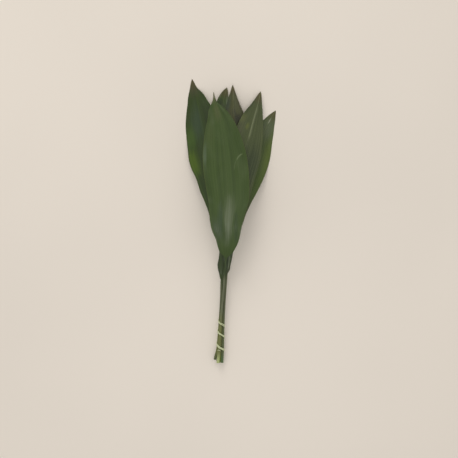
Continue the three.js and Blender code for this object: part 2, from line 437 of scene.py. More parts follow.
@dataclass(frozen=True)
class Grain:
    """Cloudy noise laid along a piece: its clouds to 1 across and to a metre along."""

    wide: float
    long: float
    detail: float = 2.0
    apart: float = 0.0

    def lay(self, bench: NodeBench, across: Socket, seed: float = 0.0) -> Socket:
        """Lays the noise.

        Args:
            bench: The nodes of the finish.
            across: What counts as the way across, the run's share or its metres.
            seed: Sets it apart from the same grain on another piece.

        Returns:
            The noise, from 0 to 1 about 0.5.
        """
        _, along, _ = bench.run()
        x, y = bench.times(across, self.wide), bench.times(along, self.long)
        return bench.noise(bench.vector(x, y, seed + self.apart), 1.0, self.detail)


# SMUDGES and PORES go by the run's metres across, and the others by its share across.
BROAD_STREAKS = Grain(3.5, 4.5)
FINE_STREAKS = Grain(26.0, 3.5, 3.0, apart=5.0)
VEINS = Grain(95.0, 1.6, 1.0, apart=2.0)
RAISED_VEINS = Grain(70.0, 5.0)
PATCH_EDGE = Grain(14.0, 22.0)
TIP_EDGE = Grain(6.0, 90.0)
STALK_LINES = Grain(7.0, 9.0, 3.0, apart=9.0)
SMUDGES = Grain(60.0, 34.0)
PORES = Grain(1400.0, 700.0)
RUBBER_LINES = Grain(9.0, 60.0, 3.0)
RUBBER_GRIME = Grain(3.0, 260.0, apart=4.0)


@dataclass(frozen=True)
class Patch:
    """A patch of another tone on a blade: its place and reach as (share across, mm along).
    Patches give both a leaf's own colour and painted highlights, sheen and shade.

    It fades between the two shares of its reach in fades, and its edge strays by ragged of it.
    """

    middle: Pair
    reach: Pair
    tone: Shade
    strength: float = 0.6
    fades: Pair = (1.25, 0.2)
    ragged: float = 0.9

    def lay(self, bench: NodeBench, colour: Value) -> Socket:
        """Lays the patch.

        Args:
            bench: The leaf's nodes.
            colour: The colour under it.

        Returns:
            The colour with the patch on it.
        """
        share, along, _ = bench.run()
        across = bench.over(bench.minus(share, self.middle[0]), self.reach[0])
        length = bench.over(bench.minus(along, self.middle[1] * MM), self.reach[1] * MM)
        far = bench.math("SQRT", bench.plus(bench.square(across), bench.square(length)))
        stray = bench.times(bench.minus(PATCH_EDGE.lay(bench, share), 0.5), self.ragged)
        shows = bench.level(bench.plus(far, stray), *self.fades, 0.0, self.strength)
        return bench.mix(shows, colour, paint(*self.tone))


@dataclass(frozen=True)
class Streak:
    """A thin line of another tone, from one (mm across, mm along) to another, bowed to a side.
    Streaks give both a leaf's own colour lines and painted highlights, sheen and shade.

    It fades between the two shares of its width in fades, and over two shares of its length.
    """

    start: Pair
    end: Pair
    width: float
    tone: Shade
    strength: float = 0.6
    bow: float = 0.0
    fades: Pair = (1.0, 0.2)
    begins: Step = Step(-0.05, 0.2)
    stops: Step = Step(1.05, 0.8)

    def lay(self, bench: NodeBench, colour: Value) -> Socket:
        """Lays the streak.

        Args:
            bench: The leaf's nodes.
            colour: The colour under it.

        Returns:
            The colour with the streak on it.
        """
        _, along, across = bench.run()
        run_x, run_y = self.end[0] - self.start[0], self.end[1] - self.start[1]
        length = math.hypot(run_x, run_y)
        x = bench.minus(bench.over(across, MM), self.start[0])
        y = bench.minus(bench.over(along, MM), self.start[1])
        way = bench.plus(bench.times(x, run_x / length**2), bench.times(y, run_y / length**2))
        off = bench.minus(bench.times(x, run_y / length), bench.times(y, run_x / length))
        hump = bench.times(bench.times(way, 4 * self.bow), bench.minus(1.0, way))
        near = bench.size(bench.minus(off, hump))
        outer, inner = self.fades
        line = bench.level(near, outer * self.width, inner * self.width, 0.0, self.strength)
        ends = bench.times(self.begins.at(bench, way), self.stops.at(bench, way))
        return bench.mix(bench.times(line, ends), colour, paint(*self.tone))


@dataclass(frozen=True)
class LeafFinish:
    """Colour, veins and gloss of one leaf, with places along it in millimetres.

    The blade goes from deep to fresh in streaks along its veins, and has a pale rim and a browned
    tip. Its pale lines along the veins are partly their own paler tone and partly painted sheen on
    them, and some of its patches are painted highlights, sheen and shade. The stalk goes from foot,
    at the cut, through shank to neck, which turns to the blade's colours green_before its base.
    foot_to and neck_from count from the cut ends, rib_from and under_from from the blade's base,
    green_over from where the green starts, browned from the tip.
    """

    name: str
    deep: Colour
    fresh: Colour
    rib: Colour
    tip: Colour = paint(84, 76, 44)
    margin: Colour = paint(80, 92, 44)
    under: Colour = paint(82, 98, 56)
    neck: Colour = paint(100, 106, 78)
    shank: Colour = paint(122, 127, 76)
    foot: Colour = paint(106, 122, 68)
    broad_share: float = 0.55
    fine_share: float = 0.45
    freshness: Step = Step(0.3, 0.7)
    # paler lines along the veins: partly their own tone, partly painted sheen on the veins
    pale_veins_and_sheen: Step = Step(0.54, 0.66, high=0.22)
    dark_veins: Step = Step(0.46, 0.34, high=0.3)
    rim: Step = Step(0.955, 1.0, high=0.6)
    browned: Pair = (-22.0, 6.0)
    browned_share: float = 0.85
    browning_strays: float = 16.0
    rib_shows: float = 0.5
    rib_from: Pair = (30.0, 120.0)
    rib_halves: Pair = (1.5, 0.5)
    rib_edge: Pair = (1.25, 0.45)
    foot_to: Pair = (30.0, 4.0)
    neck_from: Pair = (75.0, 130.0)
    stalk_lines: Step = Step(0.42, 0.62, high=0.3)
    green_before: float = 16.0
    green_over: Pair = (-6.0, 14.0)
    underneath: Step = Step(0.75, 0.25)
    under_from: Pair = (-5.0, 25.0)
    under_share: float = 0.6
    gloss: float = 0.34
    smudged: Pair = (0.35, 0.68)
    smudging: Pair = (-0.05, 0.1)
    raised_veins: float = 0.8
    pores: float = 0.2
    relief_depth: float = 0.12
    relief_strength: float = 0.55
    refraction: float = 1.45
    patches: tuple[Patch | Streak, ...] = ()

    def blade_colour(self, bench: NodeBench, seed: float) -> Socket:
        """Colours the blade's upper face.

        Args:
            bench: The leaf's nodes.
            seed: Sets this leaf's streaks apart from the others'.

        Returns:
            The colour: streaks, then patches, then veins.
        """
        share, _, _ = bench.run()
        broad = bench.times(BROAD_STREAKS.lay(bench, share, seed), self.broad_share)
        fine = bench.times(FINE_STREAKS.lay(bench, share, seed), self.fine_share)
        tone = bench.plus(broad, fine)
        colour = bench.mix(self.freshness.at(bench, tone), self.deep, self.fresh)
        for patch in self.patches:
            colour = patch.lay(bench, colour)
        veins = VEINS.lay(bench, share, seed)
        # pale vein lines: partly the veins' own tone, partly painted sheen on them
        colour = bench.mix(self.pale_veins_and_sheen.at(bench, veins), colour, self.rib)
        return bench.mix(self.dark_veins.at(bench, veins), colour, self.deep)

    def edged(self, bench: NodeBench, colour: Value, tip: float, seed: float) -> Socket:
        """Adds the blade's pale margin and browned tip.

        Args:
            bench: The leaf's nodes.
            colour: The colour so far.
            tip: y of the leaf's tip.
            seed: Sets this leaf's browning apart from the others'.

        Returns:
            The colour with them.
        """
        share, along, _ = bench.run()
        colour = bench.mix(self.rim.at(bench, bench.size(share)), colour, self.margin)
        stray = bench.times(TIP_EDGE.lay(bench, share, seed), self.browning_strays * MM)
        near = bench.plus(along, stray)
        start, end = ((tip + part) * MM for part in self.browned)
        return bench.mix(bench.level(near, start, end, 0.0, self.browned_share), colour, self.tip)

    def ribbed(self, bench: NodeBench, colour: Value, base: float, tip: float) -> Socket:
        """Adds the pale midrib, which narrows from the blade's base to its tip.

        Args:
            bench: The leaf's nodes.
            colour: The colour so far.
            base: y of the blade's base.
            tip: y of the leaf's tip.

        Returns:
            The colour with it.
        """
        _, along, across = bench.run()
        half = bench.level(along, base * MM, tip * MM, *(part * MM for part in self.rib_halves))
        ratio = bench.over(bench.size(across), half)
        start, end = ((base + part) * MM for part in self.rib_from)
        line = bench.level(ratio, *self.rib_edge, 0.0, self.rib_shows)
        return bench.mix(bench.times(line, bench.level(along, start, end)), colour, self.rib)

    def stalked(self, bench: NodeBench, colour: Value, base: float, seed: float) -> Socket:
        """Puts the stalk's own colour from the cut end to the foot of the blade.

        Args:
            bench: The leaf's nodes.
            colour: The blade's colour.
            base: y of the blade's base.
            seed: Sets this stalk's lines apart from the others'.

        Returns:
            The stalk's colour before the blade's base, and the blade's after it.
        """
        share, along, _ = bench.run()
        on_foot = bench.level(along, *(part * MM for part in self.foot_to))
        on_neck = bench.level(along, *(part * MM for part in self.neck_from))
        stalk = bench.mix(on_foot, self.shank, self.foot)
        stalk = bench.mix(on_neck, stalk, self.neck)
        lines = self.stalk_lines.at(bench, STALK_LINES.lay(bench, share, seed))
        stalk = bench.mix(lines, stalk, self.deep)
        start, end = ((base - self.green_before + part) * MM for part in self.green_over)
        return bench.mix(bench.level(along, start, end), stalk, colour)

    def material(self, seed: float, base: float, tip: float) -> bpy.types.Material:
        """Makes the leaf's material.

        Args:
            seed: Sets this leaf's streaks apart from the others'.
            base: y of the blade's base.
            tip: y of the leaf's tip.

        Returns:
            The material, for a mesh with run and side.
        """
        bench = NodeBench(self.name)
        share, along, across = bench.run()
        colour = self.blade_colour(bench, seed)
        colour = self.edged(bench, colour, tip, seed)
        colour = self.ribbed(bench, colour, base, tip)
        colour = self.stalked(bench, colour, base, seed)
        below = self.underneath.at(bench, bench.attribute("side").outputs["Fac"])
        on_blade = bench.level(along, *((base + part) * MM for part in self.under_from))
        pale = bench.mix(self.under_share, colour, self.under)
        colour = bench.mix(bench.times(below, on_blade), colour, pale)
        smudge = SMUDGES.lay(bench, across, seed)
        dull = bench.level(smudge, *self.smudged, *(self.gloss + part for part in self.smudging))
        bench.dress(colour, dull)
        veins = bench.times(RAISED_VEINS.lay(bench, share, seed), self.raised_veins)
        pores = bench.times(PORES.lay(bench, across), self.pores)
        bench.relief(bench.plus(veins, pores), self.relief_depth * MM, self.relief_strength)
        bench.shader.inputs["IOR"].default_value = self.refraction
        return bench.material


@dataclass(frozen=True)
class CutFinish:
    """The cut face of a stalk: pale pith, dotted with its vessels, inside a green skin."""

    name: str
    pith: Colour
    vessel: Colour
    vessels_per_metre: float = 1500.0
    vessel_edge: Step = Step(0.34, 0.16)
    vessel_share: float = 0.7
    vessel_sinks: float = 0.5
    clouds_per_metre: float = 600.0
    clouding: Step = Step(0.3, 0.7, high=0.4)
    skin: Step = Step(0.72, 0.98)
    dullness: Step = Step(0.3, 0.7, 0.45, 0.7)
    relief_depth: float = 0.1
    relief_strength: float = 0.8

    def material(self) -> bpy.types.Material:
        """Makes the cut face's material.

        Returns:
            The material, for a run whose first number is 1 at the skin and 0 at the centre.
        """
        bench = NodeBench(self.name)
        out, _, _ = bench.run()
        place = bench.place()
        dots = bench.node("TexVoronoi", place)
        dots.inputs["Scale"].default_value = self.vessels_per_metre
        dot = self.vessel_edge.at(bench, dots.outputs["Distance"])
        cloud = bench.noise(place, self.clouds_per_metre)
        colour = bench.mix(self.clouding.at(bench, cloud), self.pith, self.vessel)
        colour = bench.mix(bench.times(dot, self.vessel_share), colour, self.vessel)
        colour = bench.mix(self.skin.at(bench, out), colour, self.vessel)
        bench.dress(colour, self.dullness.at(bench, cloud))
        height = bench.minus(cloud, bench.times(dot, self.vessel_sinks))
        bench.relief(height, self.relief_depth * MM, self.relief_strength)
        return bench.material


@dataclass(frozen=True)
class RubberFinish:
    """Stretched pale rubber: dusty, with fine lines along it."""

    name: str = "pale_rubber"
    body: Colour = paint(186, 196, 148)
    thin: Colour = paint(216, 222, 188)
    grime: Colour = paint(140, 148, 84)
    thinness: Step = Step(0.35, 0.65)
    grimed: Step = Step(0.55, 0.75, high=0.5)
    dullness: Step = Step(0.3, 0.7, 0.38, 0.58)
    relief_depth: float = 0.08
    relief_strength: float = 0.7

    def material(self) -> bpy.types.Material:
        """Makes the band's material.

        Returns:
            The material, for a run of (share round the strand, metres along, metres across).
        """
        bench = NodeBench(self.name)
        share, _, _ = bench.run()
        lines, spots = RUBBER_LINES.lay(bench, share), RUBBER_GRIME.lay(bench, share)
        colour = bench.mix(self.thinness.at(bench, lines), self.body, self.thin)
        colour = bench.mix(self.grimed.at(bench, spots), colour, self.grime)
        bench.dress(colour, self.dullness.at(bench, lines))
        bench.relief(lines, self.relief_depth * MM, self.relief_strength)
        return bench.material


# ---- The tied stalks and the layers of blades ----

ROW = 0.866  # height of one row of stalks above the next, in stalk pitches


@dataclass(frozen=True)
class Bundle:
    """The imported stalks: how thick they are, how the bundle lies, and where each stalk runs."""

    diameter: Curve = Curve(
        ((0, 6.4), (35, 5.5), (64, 4.8), (92, 4.4), (140, 4.2), (190, 4.2), (260, 3.8))
    )
    middle: Curve = Curve(((0, -22.8), (35, -20), (64, -18.5), (104, -16.4)))
    underside: Curve = Curve(((0, 0), (8, 0.35), (35, 2.5), (64, 4.6), (104, 7.2)))
    gap: float = 0.35
    tied_up_to: float = 104.0
    strays_beyond: float = -0.9
    strays: float = 3.4
    strays_over: Pair = (36.0, 6.0)

    def radius(self, y: Places) -> Floats:
        """Radius of a stalk at y."""
        return self.diameter.at(y) / 2

    def place(self, seat: Pair, y: Places) -> tuple[Floats, Floats]:
        """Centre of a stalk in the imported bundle.

        Args:
            seat: The stalk's seat in the bundle, in stalk pitches across and up.
            y: Places along the bundle.

        Returns:
            x and z of its centre at each; the leftmost stalk's cut end strays to the left.
        """
        radius = self.radius(y)
        pitch = 2 * radius + self.gap
        stray = self.strays * ease(*self.strays_over, y) if seat[0] < self.strays_beyond else 0.0
        x = self.middle.at(y) + seat[0] * pitch - stray
        return x, self.underside.at(y) + radius + (seat[1] + ROW) * pitch


@dataclass(frozen=True)
class Layers:
    """The blades' layers, arched over a common crown."""

    ridge: Curve = Curve((
        (196, 19), (240, 24), (300, 27), (360, 29), (420, 28), (480, 25), (540, 19), (600, 11),
        (655, 3),
    ))
    crown: Curve = Curve((
        (196, 0), (240, 0.0002), (300, 0.0012), (380, 0.0026), (450, 0.0034), (540, 0.0038),
        (655, 0.004),
    ))
    part_from: float = 196.0
    part_to: float = 330.0
    floor_blend: float = 3.0

    def height(self, heights: Pair, x: Floats, y: Floats) -> Floats:
        """Height of a layer.

        Args:
            heights: How far it lies off the ridge where the layers are close, and where loose.
            x: Places across.
            y: Places along.

        Returns:
            Its height above the surface at each.
        """
        close, loose = heights
        z = self.ridge.at(y) + close + (loose - close) * ease(self.part_from, self.part_to, y)
        return z - self.crown.at(y) * x * x

    def settle(self, z: Floats) -> Floats:
        """Lays down what would sink into the surface.

        Args:
            z: Heights that may be under 0.

        Returns:
            Heights that flatten out at 0.
        """
        blend = self.floor_blend
        soft = (z + blend) ** 2 / (4 * blend)
        return np.where(z >= blend, z, np.where(z <= -blend, 0.0, soft))


@dataclass(frozen=True)
class Wave:
    """How a margin waves: its height on a wide blade, its waves and where they start."""

    size: float
    count: float
    phase: float
    wide: float = 45.0

    def at(self, q: Floats, u: Floats) -> Floats:
        """Lift at q millimetres from the midrib and share u of the blade's length."""
        return self.size * (q / self.wide) ** 2 * np.sin(TURN * (self.count * u + self.phase))


@dataclass(frozen=True)
class Crease:
    """A crease on a blade, from one (share across, y) to another, steeper on one side."""

    start: Pair
    end: Pair
    bow: float
    rise: float
    steep: float
    slow: float
    fades_in: Pair = (-0.2, 0.4)
    fades_out: Pair = (1.25, 0.6)

    def at(self, share: Floats, y: Floats, half: Floats) -> Floats:
        """Lift of the crease.

        Args:
            share: Places across, as shares of the half width.
            y: Places along.
            half: The blade's half width at each.

        Returns:
            The lift at each, in millimetres.
        """
        across, along = (share - self.start[0]) * half, y - self.start[1]
        run_x = (self.end[0] - self.start[0]) * float(np.median(half))
        run_y = self.end[1] - self.start[1]
        length = math.hypot(run_x, run_y)
        way = (across * run_x + along * run_y) / length**2
        off = (across * run_y - along * run_x) / length - self.bow * 4 * way * (1 - way)
        fade = ease(*self.fades_in, way) * ease(*self.fades_out, way)
        ridge = np.where(off > 0, bell(off, 0, self.steep), bell(off, 0, self.slow))
        return self.rise * fade * ridge


# ---- A leaf ----

# Along the blade, as (share of its length, value): the midrib's half width in millimetres, and how
# steeply the blade rises from it on each side.
MIDRIB = Curve(((0, 2), (0.15, 1.7), (0.4, 1.2), (0.7, 0.8), (1, 0.45)))
FOLD = Curve(((0, 0.14), (0.15, 0.12), (0.4, 0.06), (0.7, 0.05), (1, 0.12)))
TOP_FOLD = Curve(
    ((0, 0.6), (0.1, 0.48), (0.2, 0.37), (0.3, 0.2), (0.45, 0.08), (0.7, 0.03), (1, 0.2))
)


@dataclass(frozen=True)
class StalkSection:
    """Section of a stalk, round below and channelled above, in shares of its radius."""

    rim: float = 0.85
    rim_power: float = 0.45
    channel_depth: float = 0.52
    channel_width: float = 0.42
    least: float = 0.02

    def at(self, radius: Floats, run: Floats) -> tuple[Floats, Floats, Floats]:
        """Points of the section.

        Args:
            radius: The stalk's radius in each row, as a column.
            run: The share across of each point.

        Returns:
            Across, bottom and top, the last two from the stalk's centre.
        """
        angle = np.pi * (1.5 + 0.5 * run)
        s = np.cos(angle)
        channel = self.channel_depth * np.exp(-((s / self.channel_width) ** 2))
        top = self.rim * np.clip(1 - s * s, 0, 1) ** self.rim_power - channel
        return radius * s, radius * np.sin(angle), radius * np.maximum(top, self.least)


@dataclass(frozen=True)
class BladeRelief:
    """Lengthwise ribs and slow unevenness of a blade: both its faces rise and fall together.

    Heights are in millimetres. Each fade is from where there is no relief to where it is full, as
    shares of the blade's length, or of the way from the midrib to the margin.
    """

    ribs: int = 8
    rib_height: float = 0.07
    rib_sizes: Pair = (0.4, 1.35)
    past_base: Pair = (0.02, 0.12)
    before_tip: Pair = (1.0, 0.86)
    inside_margin: Pair = (1.0, 0.9)
    off_midrib: Pair = (0.0, 0.06)
    swells: int = 5
    swell_height: float = 0.16
    swell_counts: Pair = (2.0, 7.0)
    swell_slants: Pair = (-1.6, 1.6)
    ripples: int = 3
    ripple_height: float = 0.18
    ripple_counts: Pair = (9.0, 17.0)
    ripple_power: int = 5
    uneven_past_base: Pair = (0.03, 0.25)
    uneven_off_midrib: Pair = (0.0, 0.25)
    uneven_seed: int = 40

    def rise(self, way: Floats, u: Floats, seed: int) -> Floats:
        """Lift of the lengthwise ribs.

        Args:
            way: Share of the way from the midrib to the margin, negative on the left.
            u: Share of the blade's length.
            seed: Sets the sizes of the ribs.

        Returns:
            The lift at each.
        """
        rng = np.random.default_rng(seed)
        side = (way > 0).astype(int)
        number = np.clip(np.abs(way) * self.ribs, 0, self.ribs - 1e-6)
        sizes = rng.uniform(*self.rib_sizes, (2, self.ribs + 1))
        k = number.astype(int)
        size = sizes[side, k] * (1 - number + k) + sizes[side, k + 1] * (number - k)
        fade = ease(*self.past_base, u) * ease(*self.before_tip, u)
        fade = fade * ease(*self.inside_margin, np.abs(way)) * ease(*self.off_midrib, np.abs(way))
        return self.rib_height * size * np.cos(TURN * number) * fade

    def wander(self, way: Floats, u: Floats, seed: int) -> Floats:
        """Lift of the slow unevenness, and of a finer ripple near the margins.

        Args:
            way: Share of the way from the midrib to the margin, negative on the left.
            u: Share of the blade's length.
            seed: Sets the swells and ripples.

        Returns:
            The lift at each.
        """
        rng = np.random.default_rng(seed + self.uneven_seed)
        lift = np.zeros(np.broadcast(way, u).shape)
        for _ in range(self.swells):
            along, across = rng.uniform(*self.swell_counts), rng.uniform(*self.swell_slants)
            swell = np.sin(TURN * (along * u + across * way + rng.uniform()))
            lift = lift + self.swell_height * swell
        for _ in range(self.ripples):
            ripple = np.sin(TURN * (rng.uniform(*self.ripple_counts) * u + rng.uniform()))
            lift = lift + self.ripple_height * np.abs(way) ** self.ripple_power * ripple
        return lift * ease(*self.uneven_past_base, u) * ease(*self.uneven_off_midrib, np.abs(way))


@dataclass(frozen=True)
class CutEnd:
    """A stalk's cut end: a little hollow, at a slant that fades out up the stalk."""

    slant: float = 0.08
    slant_over: float = 12.0
    shares: tuple[float, ...] = (1.0, 0.93, 0.75, 0.5, 0.25)
    hollows: tuple[float, ...] = (0.0, -0.05, 0.08, 0.18, 0.24)
    deepest: float = 0.26

    def lean(self, cut: float, y: Floats) -> Floats:
        """How much y grows with height at each y, for an end cut at that place."""
        return self.slant * ease(cut + self.slant_over, cut, y)

    def close(self, draft: MeshDraft, rim: Floats) -> None:
        """Closes the end with faces of their own finish.

        Args:
            draft: The leaf's mesh so far.
            rim: The points round the end.
        """
        centre = rim.mean(axis=0)
        steps = zip(self.shares, self.hollows)
        rings = np.stack([centre + (rim - centre) * share + [0, deep, 0] for share, deep in steps])
        runs = np.zeros_like(rings)
        runs[..., 0] = np.array(self.shares)[:, None]
        numbers = draft.add_points(rings, runs, np.ones(rings.shape[:2]))
        draft.add_grid(np.concatenate([numbers, numbers[:, :1]], axis=1), slot=1)
        middle = centre + np.array([[0, self.deepest, 0]])
        number = draft.add_points(middle, np.zeros((1, 3)), np.ones(1))
        draft.add_fan(numbers[-1], int(number[0]), slot=1)


@dataclass(frozen=True)
class Leaf:
    """One leaf: a channelled stalk, which runs on as the midrib, and a long pointed blade.

    Its midrib is given as (y, x) rows, its outline as (y, half width on the left, on the right)
    rows, and its heights as how far it lies off the layers' ridge, close and loose. The depths and
    widths of the midrib's keel, ridge and groove are in half widths of the midrib.
    """

    name: str
    slot: Slot
    seat: Pair
    cut: float
    heights: Pair
    waves: tuple[Wave, Wave]
    midrib: tuple[Pair, ...]
    outline: tuple[tuple[float, float, float], ...]
    finish: LeafFinish
    cut_finish: CutFinish
    seed: int
    section: StalkSection = StalkSection()
    end: CutEnd = CutEnd()
    held_over: float = 20.0
    opens: Pair = (-4.0, 22.0)
    fold: Curve = FOLD
    fold_reach: float = 18.0
    channel: float = 0.0
    channel_over: float = 40.0
    creases: tuple[Crease, ...] = ()
    relief: BladeRelief = BladeRelief()
    blunt: float = 0.4
    blunt_over: float = 5.0
    thickness: float = 0.5
    edge_thickness: float = 0.28
    thick_inside: Pair = (1.0, 0.9)
    keel_depth: float = 0.9
    keel_width: float = 1.5
    rib_on_top: float = 1.0
    ridge_height: float = 0.35
    groove_depth: float = 0.62
    groove_width: float = 0.42
    narrowest_keel: float = 0.1
    narrowest_groove: float = 0.05
    rib_share_of_blade: float = 0.2
    rib_run: float = 0.05
    rib_columns: tuple[float, ...] = (-1, -0.72, -0.46, -0.22, 0, 0.22, 0.46, 0.72, 1)
    columns_per_rib: int = 5
    column_by_margin: float = 0.988
    stalk_rows: int = 46
    blade_rows: int = 190
    crowding: float = 0.06
    finishes_apart: float = 3.7

    @property
    def base(self) -> float:
        """y of the blade's base."""
        return self.outline[0][0]

    @property
    def tip(self) -> float:
        """y of the tip."""
        return self.outline[-1][0]

    def place(self, y: Floats, bundle: Bundle, layers: Layers) -> tuple[Floats, Floats]:
        """Where the leaf's midrib is.

        Args:
            y: Places along the bunch.
            bundle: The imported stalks, which it runs among at first.
            layers: The layers, in one of which it then lies.

        Returns:
            Its x and z at each.
        """
        packed_x, packed_z = bundle.place(self.seat, y)
        tied = bundle.tied_up_to
        held = (tied - self.held_over, tied)
        rows = tuple((at, float(bundle.place(self.seat, at)[0])) for at in held)
        free_x = Curve(rows + self.midrib).at(y)
        x = np.where(y <= tied, packed_x, free_x)
        layered = layers.height(self.heights, x, y)
        return x, packed_z + (layered - packed_z) * ease(tied, layers.part_from, y)

    def columns(self) -> tuple[Floats, Floats, Floats]:
        """The columns across the leaf, from its left margin to its right.

        Returns:
            For each: its share of the midrib's half width, its share of the way from there to the
            margin, which is negative on the left, and its run's share, from -1 to 1.
        """
        inner = np.array(self.rib_columns, float)
        steps = self.relief.ribs * self.columns_per_rib
        outer = np.append(np.arange(1, steps) / steps, [self.column_by_margin, 1.0])
        rib_share = np.concatenate([-np.ones(len(outer)), inner, np.ones(len(outer))])
        way = np.concatenate([-outer[::-1], np.zeros(len(inner)), outer])
        beyond = self.rib_run + (1 - self.rib_run) * outer
        run = np.concatenate([-beyond[::-1], inner * self.rib_run, beyond])
        return rib_share, way, run

    def stations(self) -> Floats:
        """y of each row across the leaf.

        Returns:
            The rows from the cut end to the tip, closer together at both ends of the blade.
        """
        start = self.base + self.opens[0]
        stalk = np.linspace(self.cut, start, self.stalk_rows, endpoint=False)
        u = np.linspace(0, 1, self.blade_rows)
        blade = start + (self.tip - start) * (u - self.crowding * np.sin(TURN * u))
        return np.concatenate([stalk, blade])

    def blade_section(
        self, y: Floats, x: Floats, z: Floats, layers: Layers
    ) -> tuple[Floats, Floats, Floats]:
        """Section of the blade in each row.

        Args:
            y: The rows' places along the bunch, as a column.
            x: The midrib's x there.
            z: The midrib's z there.
            layers: The layers that the blade lies in.

        Returns:
            Across, bottom and top, the last two from the midrib's height.
        """
        rib_share, way, _ = self.columns()
        u = np.clip((y - self.base) / (self.tip - self.base), 0, 1)
        rib = MIDRIB.at(u)
        at, left, right = np.array(self.outline, float).T
        sharp = 1 - self.blunt * ease(self.tip - self.blunt_over, self.tip, y)
        half_left = Curve(tuple(zip(at, left))).at(y) * sharp
        half_right = Curve(tuple(zip(at, right))).at(y) * sharp
        shoulder = np.minimum(rib, self.rib_share_of_blade * np.minimum(half_left, half_right))
        half = np.where(way < 0, half_left, half_right)
        q = rib_share * shoulder + way * (half - shoulder)
        crown, fold = layers.crown.at(y), self.fold.at(u)
        soft = np.hypot(shoulder, self.channel * ease(self.base, self.base + self.channel_over, y))

        def height(q: Floats) -> Floats:
            """Height of the blade's middle surface.

            Args:
                q: Distances from the midrib, negative on the left.

            Returns:
                z at each.
            """
            out = np.sqrt(q * q + soft**2) - shoulder
            lift = fold * self.fold_reach * (1 - np.exp(-out / self.fold_reach))
            wave = np.where(q < 0, self.waves[0].at(q, u), self.waves[1].at(q, u))
            return z - crown * ((x + q) ** 2 - x**2) + lift + wave

        slope = height(q + 0.5) - height(q - 0.5)
        inside = ease(*self.thick_inside, np.abs(way))
        grown = self.edge_thickness + (self.thickness - self.edge_thickness) * inside
        thick = grown * np.hypot(1, slope)
        keel_half = self.keel_width * rib + self.narrowest_keel
        keel = rib * (0.5 + 0.5 * np.cos(np.pi * np.clip(q / keel_half, -1, 1)))
        lift = self.relief.rise(way, u, self.seed) + self.relief.wander(way, u, self.seed)
        for crease in self.creases:
            lift = lift + crease.at(way, y, half)
        bottom = layers.settle(height(q) + lift - thick / 2 - self.keel_depth * keel)
        groove_half = self.groove_width * rib + self.narrowest_groove
        groove = self.groove_depth * rib * np.exp(-((q / groove_half) ** 2))
        rib_depth = self.keel_depth + self.ridge_height * self.rib_on_top
        top = bottom + thick + rib_depth * keel - self.rib_on_top * groove
        return q, bottom - z, top - z

    def surface(self, bundle: Bundle, layers: Layers) -> tuple[Floats, Floats]:
        """Points of the leaf's under and upper faces.

        Args:
            bundle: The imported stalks.
            layers: The layers of blades.

        Returns:
            The points, as [row, face, column, 3], and their runs in the same shape.
        """
        y = self.stations()
        x, z = self.place(y, bundle, layers)
        lean = self.place(y + 0.5, bundle, layers)[0] - self.place(y - 0.5, bundle, layers)[0]
        y, x, z, lean = (values[:, None] for values in (y, x, z, lean))
        _, _, run = self.columns()
        stalk = self.section.at(bundle.radius(y), run)
        blade = self.blade_section(y, x, z, layers)
        start, end = (self.base + part for part in self.opens)
        opened = ease(start, end, y)
        q, low, high = (rod + (flat - rod) * opened for rod, flat in zip(stalk, blade))
        stretch = np.hypot(1, lean)
        faces = []
        for rise in (low, high):
            side_y = y - q * lean / stretch + self.end.lean(self.cut, y) * rise
            side_z = np.broadcast_to(z + rise, q.shape)
            faces.append(np.stack([x + q / stretch, side_y, side_z], axis=-1))
        share = np.broadcast_to(run, q.shape)
        runs = np.stack([share, np.broadcast_to(y * MM, q.shape), q * MM], axis=-1)
        return np.stack(faces, axis=1), np.stack([runs, runs], axis=1)

    def build(self, bundle: Bundle, layers: Layers) -> bpy.types.Object:
        """Builds and dresses the leaf.

        Args:
            bundle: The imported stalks.
            layers: The layers of blades.

        Returns:
            The piece, in place of its solid.
        """
        points, runs = self.surface(bundle, layers)
        rows, _, columns = points.shape[:3]
        sides = np.stack([np.zeros((rows, columns)), np.ones((rows, columns))], axis=1)
        draft = MeshDraft()
        numbers = draft.add_points(points, runs, sides)
        bottom, top = numbers[:, 0], numbers[:, 1]
        draft.add_grid(top)
        draft.add_grid(bottom, turned=True)
        draft.add_grid(np.stack([bottom[:, 0], top[:, 0]], axis=1))
        draft.add_grid(np.stack([top[:, -1], bottom[:, -1]], axis=1))
        draft.add_grid(np.stack([top[-1], bottom[-1]], axis=0))
        self.end.close(draft, np.concatenate([points[0, 0], points[0, 1][::-1]]))
        leaf = self.finish.material(self.seed * self.finishes_apart, self.base, self.tip)
        piece = draft.finish(self.name + "_blade", [leaf, self.cut_finish.material()])
        return stand_for(piece, self.name)


def stand_for(piece: bpy.types.Object, node: str) -> bpy.types.Object:
    """Puts a finished piece in place of a solid.

    Args:
        piece: The piece, where it belongs.
        node: The solid that it stands for.

    Returns:
        The piece.
    """
    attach(piece, BODY)
    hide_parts(node)
    LOG.info("%s: %d faces in place of %s", piece.name, len(piece.data.polygons), node)
    return piece


# ---- The rubber band ----


